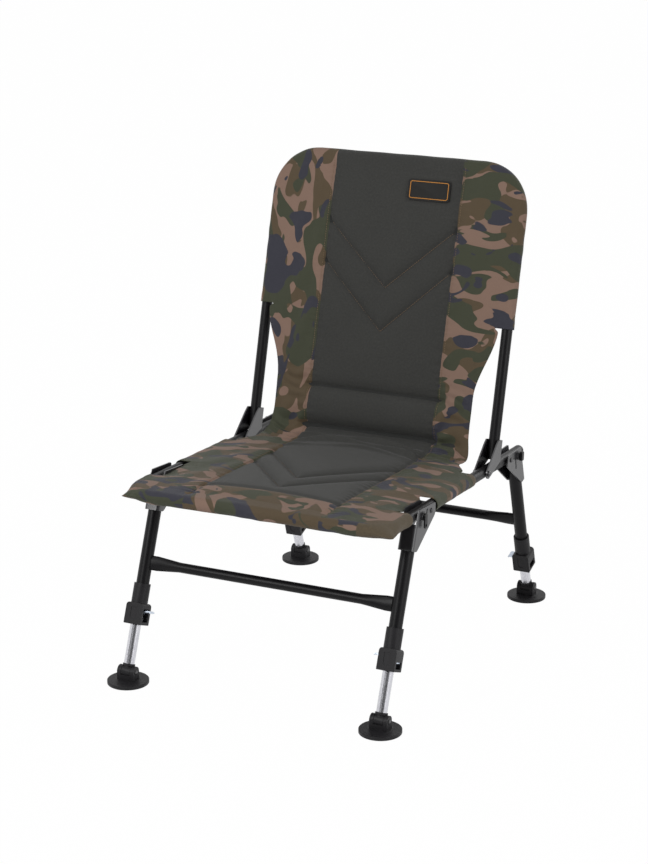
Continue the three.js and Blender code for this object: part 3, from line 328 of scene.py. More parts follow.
@dataclass(frozen=True)
class Plastic:
    """Moulded plastic with a spark-eroded grain."""

    colour: Colour
    pale: Colour
    roughness: float = 0.5
    grain: float = 0.00009
    shine: float = 0.22
    clouds: Noise = Noise(28, 4, 0.6)
    grains: Noise = Noise(1300, 3, 0.6)
    rubs: Noise = Noise(90, 5, 0.7)

    def inputs(self, graph: Graph) -> Inputs:
        """Draws the grain and paler rubbed spots.

        Args:
            graph: The graph to draw in.

        Returns:
            The inputs of the shader.
        """
        where = graph.place()
        cloudy = graph.noise(where, self.clouds)
        grain = graph.noise(where, self.grains)
        rubbed = graph.noise(where, self.rubs).eased(0.58, 0.8)
        return {
            "Base Color": graph.mix(rubbed * 0.5 + cloudy * 0.25, self.colour, self.pale),
            "Roughness": self.roughness + (cloudy - 0.5) * 0.2,
            "Normal": graph.bump(grain, self.grain, 0.7),
            "Specular IOR Level": self.shine,
        }


@dataclass(frozen=True)
class BrightMetal:
    """Plated metal with fine marks."""

    colour: Colour
    dull: Colour
    roughness: float
    marks: Noise
    metallic: float
    clouds: Noise = Noise(45, 4, 0.6)
    mark_depth: float = 0.00004

    def inputs(self, graph: Graph) -> Inputs:
        """Draws the marks and a dull bloom.

        Args:
            graph: The graph to draw in.

        Returns:
            The inputs of the shader.
        """
        marks = graph.noise(graph.place(), self.marks)
        cloudy = graph.noise(graph.place(), self.clouds)
        return {
            "Base Color": graph.mix(cloudy.eased(0.45, 0.75) * 0.4, self.colour, self.dull),
            "Roughness": self.roughness + cloudy * 0.1 + (marks - 0.5) * 0.08,
            "Metallic": self.metallic,
            "Normal": graph.bump(marks, self.mark_depth, 0.5),
        }


@dataclass(frozen=True)
class ChromedTube:
    """Polished plate on a round tube, with faint draw marks along it."""

    colour: Colour
    dull: Colour
    roughness: float
    drawn: tuple[float, float, float] = (700.0, 700.0, 12.0)
    streaks: Noise = Noise(1, 3, 0.6)
    clouds: Noise = Noise(45, 4, 0.6)
    metallic: float = 0.85

    def inputs(self, graph: Graph) -> Inputs:
        """Draws the marks and a faint bloom.

        Args:
            graph: The graph to draw in.

        Returns:
            The inputs of the shader.
        """
        streak = graph.noise(graph.place(self.drawn), self.streaks)
        cloudy = graph.noise(graph.place(), self.clouds)
        return {
            "Base Color": graph.mix(streak.eased(0.4, 0.7) * 0.5 + cloudy * 0.2, self.colour, self.dull),
            "Roughness": self.roughness + cloudy * 0.1,
            "Metallic": self.metallic,
        }


@dataclass(frozen=True)
class Weave:
    """Plain weave of a coated polyester cloth, drawn on the flat pattern of the piece."""

    pitch: float = 0.0011
    depth: float = 0.00016
    fuzz: Noise = Noise(900, 2)

    def height(self, graph: Graph, where: Socket) -> Value:
        """Draws the threads as two crossed waves.

        Args:
            graph: The graph to draw in.
            where: The flat place, in metres.

        Returns:
            The height of the cloth, from about -1 to 1.6.
        """
        turns = 2 * math.pi / self.pitch
        across = (graph.axis(where, "X") * turns).sine()
        along = (graph.axis(where, "Y") * turns).sine()
        return across * along + graph.noise(where, self.fuzz) * 0.6


@dataclass(frozen=True)
class PanelCloth:
    """Plain-woven cloth of one colour, mottled and a little faded."""

    colour: Colour
    faded: Colour
    weave: Weave = Weave()
    mottles: Noise = Noise(260, 4, 0.75)
    clouds: Noise = Noise(14, 3)
    creases: Noise = Noise(38, 5, 0.62, 0.6)
    crease_depth: float = 0.0011

    def inputs(self, graph: Graph) -> Inputs:
        """Draws the threads, the fading and small creases.

        Args:
            graph: The graph to draw in.

        Returns:
            The inputs of the shader.
        """
        flat = graph.laid("pattern")
        threads = self.weave.height(graph, flat)
        mottled = graph.noise(flat, self.mottles)
        cloudy = graph.noise(flat, self.clouds)
        creases = graph.noise(flat, self.creases)
        under = graph.bump(creases, self.crease_depth, 0.35)
        return {
            "Base Color": graph.mix(mottled.eased(0.3, 0.75) * 0.6 + cloudy * 0.3, self.colour, self.faded),
            "Roughness": 0.78 + (mottled - 0.5) * 0.2,
            "Normal": graph.bump(threads, self.weave.depth, 0.55, under),
            "Specular IOR Level": 0.35,
            "Sheen Weight": 0.08,
        }


@dataclass(frozen=True)
class Ink:
    """One printed colour of the pattern: its blobs, where they start, and where in the noise they lie."""

    colour: Colour
    blobs: Noise
    threshold: float
    place: tuple[float, float, float]


@dataclass(frozen=True)
class PatternCloth:
    """Traditional four-colour woodland cloth, printed on a plain weave."""

    ground: Colour
    inks: tuple[Ink, ...]
    weave: Weave = Weave()
    edge: float = 0.008
    shade: Colour = (0.55, 0.55, 0.55, 1)
    shades: Noise = Noise(420, 3, 0.7)
    creases: Noise = Noise(30, 5, 0.62, 0.8)
    crease_depth: float = 0.0012

    def inputs(self, graph: Graph) -> Inputs:
        """Prints one ink over the other, and draws the threads and small creases.

        Args:
            graph: The graph to draw in.

        Returns:
            The inputs of the shader.
        """
        flat, drawn = graph.laid("pattern"), graph.laid("print")
        colour: object = self.ground
        for ink in self.inks:
            blob = graph.noise(graph.mapped(drawn, Location=ink.place), ink.blobs)
            colour = graph.mix(blob.eased(ink.threshold, ink.threshold + self.edge), colour, ink.colour)
        threads = self.weave.height(graph, flat)
        fine = graph.noise(flat, self.shades)
        creases = graph.noise(flat, self.creases)
        under = graph.bump(creases, self.crease_depth, 0.4)
        return {
            "Base Color": graph.mix(0.35, colour, graph.mix(fine, self.shade, (1, 1, 1, 1)), "MULTIPLY"),
            "Roughness": 0.74 + (fine - 0.5) * 0.2,
            "Normal": graph.bump(threads, self.weave.depth, 0.5, under),
            "Specular IOR Level": 0.35,
            "Sheen Weight": 0.06,
        }


@dataclass(frozen=True)
class Thread:
    """Twisted sewing thread."""

    colour: Colour
    dark: Colour
    fibres: Noise = Noise(2600, 2)
    fibre_depth: float = 0.0001

    def inputs(self, graph: Graph) -> Inputs:
        """Draws the fibres.

        Args:
            graph: The graph to draw in.

        Returns:
            The inputs of the shader.
        """
        fibre = graph.noise(graph.place(), self.fibres)
        return {
            "Base Color": graph.mix(fibre, self.dark, self.colour),
            "Roughness": 0.6 + fibre * 0.2,
            "Normal": graph.bump(fibre, self.fibre_depth, 0.5),
        }


class Finish(Enum):
    """The finishes. A value names the material."""

    FRAME_PAINT = "frame_paint"
    BRACKET_PAINT = "bracket_paint"
    CHROME = "chrome_tube"
    PLASTIC = "moulded_plastic"
    ZINC = "zinc_plate"
    SPRING = "spring_wire_painted_glint"
    PATTERN_CLOTH = "cover_cloth"
    PANEL_CLOTH = "panel_cloth"
    LINING = "lining_cloth"
    THREAD = "seam_thread"
    HEM_CLOTH = "hem_cloth"
    RUBBER = "patch_rubber"
    BORDER = "patch_border"


RECIPES: dict[Finish, Recipe] = {
    Finish.FRAME_PAINT: Paint(linear(15, 14, 16), linear(32, 31, 35), 0.42, 0.00006, 0.19),
    Finish.BRACKET_PAINT: Paint(linear(21, 20, 24), linear(84, 81, 92), 0.36, 0.00009, 1.0),
    Finish.CHROME: ChromedTube(linear(218, 218, 223), linear(170, 170, 178), 0.16),
    Finish.PLASTIC: Plastic(linear(26, 25, 27), linear(50, 49, 52)),
    Finish.ZINC: BrightMetal(linear(206, 216, 230), linear(160, 168, 180), 0.3, Noise(500, 3, 0.6), 0.7),
    # Spring wire: zinc-plated steel, but its near-white colour and low metallic are painted highlight, a
    # stand-in for the glint of the light on the coil inside the dark housing.
    Finish.SPRING: BrightMetal(linear(240, 242, 245), linear(206, 210, 216), 0.3, Noise(300, 3, 0.6), 0.3),
    Finish.PATTERN_CLOTH: PatternCloth(
        linear(129, 104, 90),
        (
            Ink(linear(82, 68, 48), Noise(15.5, 0.9, 0.4, 1.25), 0.49, (2.1, 0.4, 0)),
            Ink(linear(58, 61, 44), Noise(14.5, 0.9, 0.4, 1.25), 0.53, (5.8, 3.3, 0)),
            Ink(linear(48, 48, 58), Noise(16.5, 0.9, 0.4, 1.25), 0.585, (9.5, 6.2, 0)),
        ),
    ),
    Finish.PANEL_CLOTH: PanelCloth(linear(39, 39, 37), linear(58, 58, 55)),
    Finish.LINING: PanelCloth(linear(26, 27, 26), linear(42, 43, 41)),
    Finish.THREAD: Thread(linear(132, 106, 78), linear(84, 66, 48)),
    Finish.HEM_CLOTH: PanelCloth(linear(70, 60, 44), linear(92, 80, 60)),
    Finish.RUBBER: Plastic(linear(26, 25, 24), linear(44, 42, 40), 0.6, 0.00005),
    Finish.BORDER: Plastic(linear(188, 124, 50), linear(214, 152, 74), 0.55, 0.00004),
}


class Paintbox:
    """Builds each material once and puts it on pieces."""

    def __init__(self) -> None:
        """Starts empty."""
        self.made: dict[Finish, bpy.types.Material] = {}

    def material(self, finish: Finish) -> bpy.types.Material:
        """Gives the material of a finish.

        Args:
            finish: The finish.

        Returns:
            Its material, made at the first call.
        """
        if finish not in self.made:
            graph = Graph.of_material(finish.value)
            graph.end(graph.node("ShaderNodeBsdfPrincipled", values=RECIPES[finish].inputs(graph)))
            self.made[finish] = graph.owner
        return self.made[finish]

    def dress(self, piece: Piece, *finishes: Finish) -> None:
        """Puts finishes in a piece's material slots.

        Args:
            piece: The object to dress.
            finishes: One for each material index of its faces.
        """
        slots = [polygon.material_index for polygon in piece.data.polygons]
        piece.data.materials.clear()
        for finish in finishes:
            piece.data.materials.append(self.material(finish))
        for polygon, index in zip(piece.data.polygons, slots):
            polygon.material_index = min(index, len(finishes) - 1)


# Modelling


def primitive(name: str, operator: Callable[..., object], **settings: object) -> Piece:
    """Adds a primitive, with nothing else selected.

    Args:
        name: Its name.
        operator: The operator that adds it.
        settings: The operator's settings.

    Returns:
        The new object.
    """
    bpy.ops.object.select_all(action="DESELECT")
    operator(**settings)
    made = bpy.context.object
    made.name = made.data.name = name
    return made


def apply_place() -> None:
    """Applies the place, turn and scale of the active object to its mesh."""
    bpy.ops.object.transform_apply(location=True, rotation=True, scale=True)


def sewn_sheet(name: str, points: Sequence[Vector], faces: Sequence[tuple[int, ...]]) -> Piece:
    """Makes an object of cloth or thread from its points and faces.

    Args:
        name: Its name.
        points: Its vertices.
        faces: Its faces, as numbers of vertices.

    Returns:
        The new object.
    """
    mesh = bpy.data.meshes.new(name)
    mesh.from_pydata([tuple(p) for p in points], [], faces)
    made = bpy.data.objects.new(name, mesh)
    bpy.context.scene.collection.objects.link(made)
    return made


def vectors(data: bpy.types.bpy_prop_collection, name: str) -> np.ndarray:
    """Reads one vector of every element.

    Args:
        data: The elements.
        name: The vector's name.

    Returns:
        The vectors, a row for each element.
    """
    values = np.zeros(len(data) * 3)
    data.foreach_get(name, values)
    return values.reshape(-1, 3)


def smooth_faces(piece: Piece) -> None:
    """Shades all the faces of a piece smooth."""
    piece.data.polygons.foreach_set("use_smooth", [True] * len(piece.data.polygons))


def select_faces(piece: Piece, wanted: Callable[[Vector], bool]) -> None:
    """Selects the faces of a piece whose normal is wanted, and nothing else.

    Args:
        piece: The object.
        wanted: Tells from a normal whether its face is wanted.
    """
    mesh = piece.data
    for element in (*mesh.vertices, *mesh.edges):
        element.select = False
    for polygon in mesh.polygons:
        polygon.select = bool(wanted(polygon.normal))


def select_only(piece: Piece) -> None:
    """Selects one object and makes it active.

    Args:
        piece: The object.
    """
    bpy.ops.object.select_all(action="DESELECT")
    bpy.context.view_layer.objects.active = piece
    piece.select_set(True)


@contextmanager
def editing(piece: Piece) -> Iterator[None]:
    """Holds a piece in edit mode, with its selected faces, for the lines under it.

    Args:
        piece: The object.
    """
    select_only(piece)
    bpy.ops.object.mode_set(mode="EDIT")
    bpy.context.tool_settings.mesh_select_mode = (False, False, True)
    yield
    bpy.ops.object.mode_set(mode="OBJECT")


def add_modifier(piece: Piece, kind: str, **settings: object) -> bpy.types.Modifier:
    """Adds a modifier.

    Args:
        piece: The object.
        kind: The modifier's type.
        settings: Its settings.

    Returns:
        The modifier.
    """
    made = piece.modifiers.new(kind.lower(), kind)
    for name, value in settings.items():
        setattr(made, name, value)
    return made


def apply_modifier(piece: Piece, kind: str, **settings: object) -> None:
    """Adds a modifier with its settings and applies it."""
    select_only(piece)
    bpy.ops.object.modifier_apply(modifier=add_modifier(piece, kind, **settings).name)


# Places


@dataclass(frozen=True)
class SeatSpace:
    """Places along the rails, square to them, and up the back, all taken from the joints."""

    origin: Vector
    along: Vector
    normal: Vector
    back_foot: Vector
    up: Vector
    rearward: Vector

    @classmethod
    def from_joints(
        cls,
        joints: Sequence[dict],
        first_pivot: float = 0.042,
        foot_behind: float = 0.042,
        recline: float = 12.0,
    ) -> "SeatSpace":
        """Works the directions out.

        Args:
            joints: The record's joints.
            first_pivot: How far the front legs' pivot lies behind the front legs.
            foot_behind: How far the back's tubes stand behind their pivot.
            recline: Lean of the back from square to the rails, in degrees.

        Returns:
            The seat's places.
        """
        places = {joint["name"]: Vector(joint["pos_m"]) for joint in joints if "pos_m" in joint}
        front, rear, pivot = places["front_legs_fold"], places["rear_legs_fold"], places["backrest_fold"]
        along = (rear - front).normalized()
        normal = Vector((1, 0, 0)).cross(along)
        lean = math.radians(recline)
        return cls(
            origin=front - along * first_pivot,
            along=along,
            normal=normal,
            back_foot=pivot + along * foot_behind,
            up=normal * math.cos(lean) + along * math.sin(lean),
            rearward=along * math.cos(lean) - normal * math.sin(lean),
        )

    def seat(self, x: float, along: float, height: float) -> Vector:
        """Gives a place by the seat."""
        return self.origin + Vector((x, 0, 0)) + self.along * along + self.normal * height

    def back(self, x: float, up: float, behind: float) -> Vector:
        """Gives a place by the back."""
        return self.back_foot + Vector((x, 0, 0)) + self.up * up + self.rearward * behind


# Cloth


@dataclass(frozen=True)
class Valley:
    """One of the valleys that a seam draws in the padding."""

    depth: float
    width: float

    def at(self, distance: np.ndarray) -> np.ndarray:
        """Gives the depth at a distance from the seam."""
        return self.depth * np.exp(-((distance / self.width) ** 2))


@dataclass(frozen=True)
class Wave:
    """A sine over the flat place, with its rates in the two directions."""

    height: float
    across: float
    along: float
    phase: float = 0.0

    def at(self, across: np.ndarray, along: np.ndarray) -> np.ndarray:
        """Gives the wave at flat places."""
        return self.height * np.sin(across * self.across + along * self.along + self.phase)


@dataclass(frozen=True)
class Crease:
    """One soft crease across the fold between seat and back."""

    place: float
    depth: float
    width: float
    tilt: float
    phase: float
    bow: float = 0.007
    wander: float = 0.0045
    wander_rate: float = 3.4
    tilt_reach: float = 0.006
    swell: float = 0.35
    swell_rate: float = 5.1

    def at(self, share: np.ndarray, along: np.ndarray) -> np.ndarray:
        """Gives the height of the crease.

        Args:
            share: Distance from the middle, as a share of half the panel's width.
            along: Distance along the cloth.

        Returns:
            The height.
        """
        path = self.place - self.bow * share**2 + self.wander * np.sin(self.wander_rate * share + self.phase)
        path = path + self.tilt_reach * self.tilt * share
        strength = 1 - self.swell + self.swell * np.sin(self.swell_rate * share + self.phase * 2)
        return self.depth * strength * np.exp(-(((along - path) / self.width) ** 2))


@dataclass(frozen=True)
class Pinning:
    """How firmly the simulation holds the lines of the cloth, how near them, and how it pushes the border."""

    side_seam: float = 0.8
    roll: float = 0.9
    chevron: float = 0.4
    front_seam: float = 0.7
    free_edge: float = 0.35
    seam_reach: float = 0.003
    edge_reach: float = 0.0005
    border_push: float = 0.2


@dataclass(frozen=True)
class Lay:
    """How the print lies on a strip: factors of across and along, and a shift, for each of its two axes."""

    first: tuple[float, float, float]
    second: tuple[float, float, float]

    def at(self, across: float, along: float) -> Flat:
        """Gives the place in the print."""
        (a, b, c), (d, e, f) = self.first, self.second
        return across * a + along * b + c, across * d + along * e + f

    def towards(self, other: "Lay", share: float) -> "Lay":
        """Gives the lay at a share of the way to another."""
        first = tuple(a + (b - a) * share for a, b in zip(self.first, other.first))
        return Lay(first, tuple(a + (b - a) * share for a, b in zip(self.second, other.second)))


@dataclass
class CoverSizes:
    """Sizes of the padded cover, in metres.

    Places are measured along the cloth from the front legs, which is along the rails as far as the fold.
    The back's, the rolls' and those with ups in their names are measured up the back from its foot. Rates are
    in radians per metre and the wrap angle in degrees.
    """

    tube_x: float = 0.230
    wrap_radius: float = 0.0113
    sleeve_width: float = 0.021
    seat_front: float = -0.112
    seat_bend: float = 0.045
    back_top: float = 0.510
    back_bend: float = 0.075
    back_thin_start: float = 0.40
    fold_radius: float = 0.034
    cut_front: float = -0.029
    cut_rear: float = 0.072
    cut_bulge: float = 0.0085
    cut_bulge_slope: float = 2.2
    cut_drop: float = 0.0045
    cut_drop_slope: float = 1.6
    cut_reach: float = 0.05
    seat_sleeve_end: float = 0.238
    waist: float = 0.187
    waist_lead: float = 0.006
    waist_start: float = 0.292
    waist_ups: Flat = (0.112, 0.236)
    flare: float = 0.008
    flare_shift: float = 0.006
    flare_reach: float = 0.034
    edge: float = 0.2185
    back_sleeve_start: float = 0.238
    seam_x: float = 0.121
    front_seam: float = -0.046
    rolls: Flat = (0.032, 0.102)
    roll_height: float = 0.0075
    roll_roundness: float = 0.7
    roll_fade: Flat = (-0.002, 0.03)
    seat_chevrons: tuple[Flat, ...] = ((-0.014, 0.131), (0.050, 0.195))
    back_chevrons: tuple[Flat, ...] = ((0.209, 0.325), (0.286, 0.397))
    seat_crown: float = 0.0098
    back_crown: float = 0.0058
    crown_turn: float = 0.03
    side_rise: float = 0.0042
    side_loss: float = 0.001
    seam_play: float = 0.004
    side_pull: tuple[Valley, ...] = (Valley(0.0018, 0.0035), Valley(0.0016, 0.012))
    chevron_pull: tuple[Valley, ...] = (Valley(0.0027, 0.0032), Valley(0.0028, 0.011))
    front_pull: tuple[Valley, ...] = (Valley(0.0022, 0.006),)
    low_roll_pull: tuple[Valley, ...] = (Valley(0.0052, 0.0036), Valley(0.005, 0.012))
    high_roll_pull: tuple[Valley, ...] = (Valley(0.0040, 0.0036), Valley(0.0036, 0.012))
    creases: tuple[Crease, ...] = (
        Crease(0.258, 0.0044, 0.0060, 0.3, 0.4),
        Crease(0.284, 0.0098, 0.0062, -0.3, 1.9),
        Crease(0.311, 0.0106, 0.0066, 0.25, 3.1),
    )
    crease_fade: Flat = (-0.01, 0.012)
    gather_start: Flat = (0.255, 0.29)
    gather_end_ups: Flat = (0.10, 0.15)
    gather_height: float = 0.0034
    gather_rate: float = 255
    gather_swings: tuple[Wave, ...] = (Wave(9, 31, 0), Wave(2.6, 40, 61))
    gather_swell: Wave = Wave(0.4, 18, 47, 1.7)
    gather_least: float = 0.15
    gather_rim: Flat = (0.002, 0.03)
    border_reach: float = 0.02
    pucker_height: float = 0.0005
    pucker_rate: float = 430
    pucker_swing: Wave = Wave(3, 0, 71)
    pucker_reach: float = 0.014
    drape_height: float = 0.0009
    drape_rate: float = 52
    drape_swing: Wave = Wave(6, 21, 0)
    ripple_height: float = 0.00035
    ripple_rate: float = 96
    ripple_slant: float = 30
    ripple_swing: Wave = Wave(2.2, 37, 0)
    ripple_swell: Wave = Wave(1, 41, 55)
    front_ripples: float = 0.03
    step: float = 0.005
    side_columns: int = 17
    corner_rows: int = 10
    top_rows: int = 12
    thickness: float = 0.0012
    tuck: float = 0.0013
    wrap_steps: int = 17
    wrap_angle: float = 15.0
    hem: float = 0.013
    hem_rise: float = 0.0007
    hem_sag: float = 0.0008
    sag_rates: Flat = (47, 19)
    bound_beyond: float = 0.05
    tip_start: float = 0.012
    tip_droop: float = 0.12
    tip_shift: float = 0.008
    tip_squareness: float = 0.85
    tip_crease: tuple[int, int] = (4, 16)
    lining_inset: float = 0.004
    lining_drop: float = 0.0034
    lining_columns: int = 36
    lining_edge: float = 0.0035
    lining_depth: float = 0.0062
    lining_squareness: float = 6
    lining_least: float = 0.0045
    lining_seam: Valley = Valley(0.0022, 0.006)
    stitch_beside: float = 0.0035
    stitch_pitch: float = 0.0042
    stitch_length: float = 0.0032
    stitch_top: float = 0.004
    thread_radius: float = 0.00045
    thread_sides: int = 6
    ray: float = 0.03
    cloth_frames: int = 20
    cloth_cap: float = 0.007
    cloth_sink: float = 0.002
    cloth_slip: float = 0.004
    cloth_gather: Flat = (0.25, 0.29)
    cloth_gather_end_ups: Flat = (0.10, 0.16)
    evening: int = 2
    least_weight: float = 0.001
    pinning: Pinning = Pinning()
    front_lay: Lay = Lay((0.95, 0.5, 0.35), (-0.35, 0.85, 4))
    left_back_lay: Lay = Lay((1.3, 0, 0), (0, 0.7, 1.7))
    left_seat_lay: Lay = Lay((0.75, 0, 0), (0, 1.2, 1.7))
    right_lay: Lay = Lay((0.78, 0, 2.6), (0, 1.3, 0.6))
    lay_turn: float = 0.1


def pulled(valleys: Sequence[Valley], distance: np.ndarray) -> np.ndarray:
    """Adds up the valleys of one seam."""
    return sum(valley.at(distance) for valley in valleys)


class CoverShape:
    """The surface of the cover as a function of two flat coordinates.

    Across is the distance from the middle. Along runs back over the seat, round the fold and up the back.
    """

    def __init__(self, space: SeatSpace, sizes: CoverSizes) -> None:
        """Works out the fold between seat and back.

        Args:
            space: The seat's places.
            sizes: The cover's sizes.
        """
        self.space = space
        self.sizes = sizes
        foot = space.back_foot - space.origin
        base = sizes.wrap_radius
        across_back = math.acos(max(-1.0, min(1.0, space.up.dot(space.normal))))
        lift = (base - base * math.sin(across_back)) / math.cos(across_back)
        corner = foot.dot(space.along) - base * math.cos(across_back) + lift * math.sin(across_back)
        turn = math.pi / 2 - across_back
        reach = sizes.fold_radius * math.tan(turn / 2)
        self.fold_start = corner - reach
        self.fold_end = self.fold_start + sizes.fold_radius * turn
        self.up_offset = self.fold_end - (lift + reach)

    def along_at_up(self, up: float) -> float:
        """Gives the along coordinate of a height up the back."""
        return up + self.up_offset

    def base(self, across: float, along: float) -> tuple[Vector, Vector]:
        """Gives the point on the bent surface through the tops of the sleeves.

        Args:
            across: Distance from the middle.
            along: Distance along the cloth.

        Returns:
            The point and the direction out of the cloth.
        """
        space, sizes = self.space, self.sizes
        if along <= self.fold_start:
            return space.seat(across, along, sizes.wrap_radius), space.normal.copy()
        if along >= self.fold_end:
            return space.back(across, along - self.up_offset, -sizes.wrap_radius), -space.rearward
        angle = (along - self.fold_start) / sizes.fold_radius
        centre = space.seat(across, self.fold_start, sizes.wrap_radius + sizes.fold_radius)
        outward = space.along * math.sin(angle) - space.normal * math.cos(angle)
        return centre + outward * sizes.fold_radius, -outward

    def corner_width(self, bend: float, beyond: float) -> float:
        """Gives half the width in a round corner.

        Args:
            bend: The radius of the tube's bend.
            beyond: Distance past the start of the bend.

        Returns:
            Half the width of the flat part.
        """
        radius = bend - self.sizes.sleeve_width
        return self.sizes.tube_x - bend + math.sqrt(max(radius**2 - beyond**2, 0))

    def half_width(self, along: float) -> float:
        """Gives half the width of the flat part between the sleeves or hems.

        Args:
            along: Distance along the cloth.

        Returns:
            Half the width there.
        """
        sizes = self.sizes
        inner = sizes.tube_x - sizes.sleeve_width
        front = sizes.seat_front + sizes.seat_bend
        if along < front:
            return self.corner_width(sizes.seat_bend, front - along)
        if along <= sizes.seat_sleeve_end:
            slope = sizes.cut_bulge_slope * math.sin(math.pi * self.cut_share(along))
            return inner + sizes.cut_bulge * min(1.0, slope)
        up = along - self.up_offset
        if along < self.fold_end or up < sizes.waist_ups[0]:
            start = sizes.seat_sleeve_end - sizes.waist_lead
            beside = (along - self.fold_start - sizes.flare_shift) / sizes.flare_reach
            waist = sizes.waist + sizes.flare * math.exp(-(beside**2))
            return sizes.edge - (sizes.edge - waist) * smooth(start, sizes.waist_start, along)
        bend = sizes.back_top - sizes.back_bend
        if up > bend:
            return self.corner_width(sizes.back_bend, up - bend)
        if up >= sizes.back_sleeve_start - TINY:
            return inner
        return sizes.waist + (sizes.edge - sizes.waist) * smooth(*sizes.waist_ups, up)

    def cut_share(self, along: float | np.ndarray) -> float | np.ndarray:
        """Gives how far along the rails' cut-outs a place lies, from 0 to 1."""
        sizes = self.sizes
        return np.clip((along - sizes.cut_front) / (sizes.cut_rear - sizes.cut_front), 0, 1)

    def chevrons(self) -> list[Flat]:
        """Lists the chevron seams by where their tip and their edges lie along the cloth."""
        on_back = [(self.along_at_up(tip), self.along_at_up(edge)) for tip, edge in self.sizes.back_chevrons]
        return [*self.sizes.seat_chevrons, *on_back]

    def chevron_distance(self, across: np.ndarray, along: np.ndarray) -> np.ndarray:
        """Gives the distance to the nearest chevron seam.

        Args:
            across: Distances from the middle.
            along: Distances along the cloth.

        Returns:
            The distances, 1 outside the panel.
        """
        seam = self.sizes.seam_x
        nearest = np.full_like(across, 1.0)
        for tip, edge in self.chevrons():
            slope = (edge - tip) / seam
            away = np.abs(along - (tip + slope * np.abs(across))) / math.hypot(1, slope)
            nearest = np.minimum(nearest, np.where(np.abs(across) < seam, away, 1.0))
        return nearest

    def puff(self, across: np.ndarray, along: np.ndarray) -> np.ndarray:
        """Gives the broad rise of the padding over the base.

        Args:
            across: Distances from the middle.
            along: Distances along the cloth.

        Returns:
            The heights.
        """
        sizes = self.sizes
        away = np.abs(across)
        back = smooth(self.fold_start, self.fold_end + sizes.crown_turn, along)
        crown = sizes.seat_crown + (sizes.back_crown - sizes.seat_crown) * back
        side = sizes.side_rise - sizes.side_loss * back
        panel = side + (crown - side) * (1 - (away / sizes.seam_x) ** 2)
        border = side * (1 - np.clip((away - sizes.seam_x) / (sizes.tube_x - sizes.seam_x), 0, 1) ** 2)
        rise = np.where(away < sizes.seam_x, panel, border)
        front = smooth(sizes.seat_front, sizes.front_seam, along)
        thin_start, top = self.along_at_up(sizes.back_thin_start), self.along_at_up(sizes.back_top)
        return rise * front * (1 - smooth(thin_start, top, along))

    def seams(self, across: np.ndarray, along: np.ndarray) -> np.ndarray:
        """Gives how far the seams pull the padding in and the roll at the foot of the back stands out.

        Args:
            across: Distances from the middle.
            along: Distances along the cloth.

        Returns:
            The heights, negative in the seams.
        """
        sizes = self.sizes
        away = np.abs(across)
        inside = away < sizes.seam_x + sizes.seam_play
        depth = pulled(sizes.side_pull, away - sizes.seam_x)
        depth += np.where(inside, pulled(sizes.chevron_pull, self.chevron_distance(across, along)), 0)
        depth += np.where(inside, pulled(sizes.front_pull, along - sizes.front_seam), 0)
        low, high = (self.along_at_up(up) for up in sizes.rolls)
        fade = 1 - smooth(*(sizes.seam_x + reach for reach in sizes.roll_fade), away)
        depth += fade * pulled(sizes.low_roll_pull, along - low)
        depth += fade * pulled(sizes.high_roll_pull, along - high)
        bulge = np.clip(1 - ((along - (low + high) / 2) / ((high - low) / 2)) ** 2, 0, 1)
        return fade * bulge**sizes.roll_roundness * sizes.roll_height - depth

    def wrinkles(self, across: np.ndarray, along: np.ndarray, rim: np.ndarray) -> np.ndarray:
        """Gives the wrinkles of the fold, the waist and the seams.

        Args:
            across: Distances from the middle.
            along: Distances along the cloth.
            rim: Distances inward of the edge.

        Returns:
            The heights.
        """
        sizes = self.sizes
        away = np.abs(across)
        fold = sum(crease.at(across / sizes.seam_x, along) for crease in sizes.creases)
        fold *= 1 - smooth(*(sizes.seam_x + reach for reach in sizes.crease_fade), away)
        waist = smooth(*sizes.gather_start, along)
        waist *= 1 - smooth(*map(self.along_at_up, sizes.gather_end_ups), along)
        border = smooth(sizes.seam_x, sizes.seam_x + sizes.border_reach, away)
        swing = along * sizes.gather_rate + sum(wave.at(across, along) for wave in sizes.gather_swings)
        swell = 1 - sizes.gather_swell.height + sizes.gather_swell.at(across, along)
        gather = sizes.gather_height * np.sin(swing) * swell
        gather *= sizes.gather_least + (1 - sizes.gather_least) * smooth(*sizes.gather_rim, rim)
        near_seam = np.exp(-(((away - sizes.seam_x) / sizes.pucker_reach) ** 2))
        swing = along * sizes.pucker_rate + sizes.pucker_swing.at(across, along)
        pucker = sizes.pucker_height * np.sin(swing) * near_seam
        swing = along * sizes.drape_rate + sizes.drape_swing.at(across, along)
        drape = sizes.drape_height * np.sin(swing) * border * smooth(sizes.seat_front, 0.0, along)
        return fold + waist * border * gather + pucker + drape

    def cut_sag(self, rim: np.ndarray, along: np.ndarray) -> np.ndarray:
        """Gives how far the edge hangs down beside a cut-out.

        Args:
            rim: Distances inward of the edge.
            along: Distances along the cloth.

        Returns:
            The drops.
        """
        sizes = self.sizes
        near = 1 - smooth(0.0, sizes.cut_reach, rim)
        slope = np.minimum(1.0, sizes.cut_drop_slope * np.sin(np.pi * self.cut_share(along)))
        return sizes.cut_drop * near * slope

    def sleeve_ripples(self, across: np.ndarray, along: np.ndarray) -> np.ndarray:
        """Gives the slack ripples of the cloth round the tubes.

        Args:
            across: Distances from the middle.
            along: Distances along the cloth.

        Returns:
            The heights.
        """
        sizes = self.sizes
        front = along < sizes.seat_front + sizes.front_ripples
        running = np.where(front, across, along)
        around = np.where(front, along, across)
        swing = running * sizes.ripple_rate + sizes.ripple_swing.at(running, around)
        slack = np.sin(swing + around * sizes.ripple_slant)
        return sizes.ripple_height * slack * sizes.ripple_swell.at(running, around)


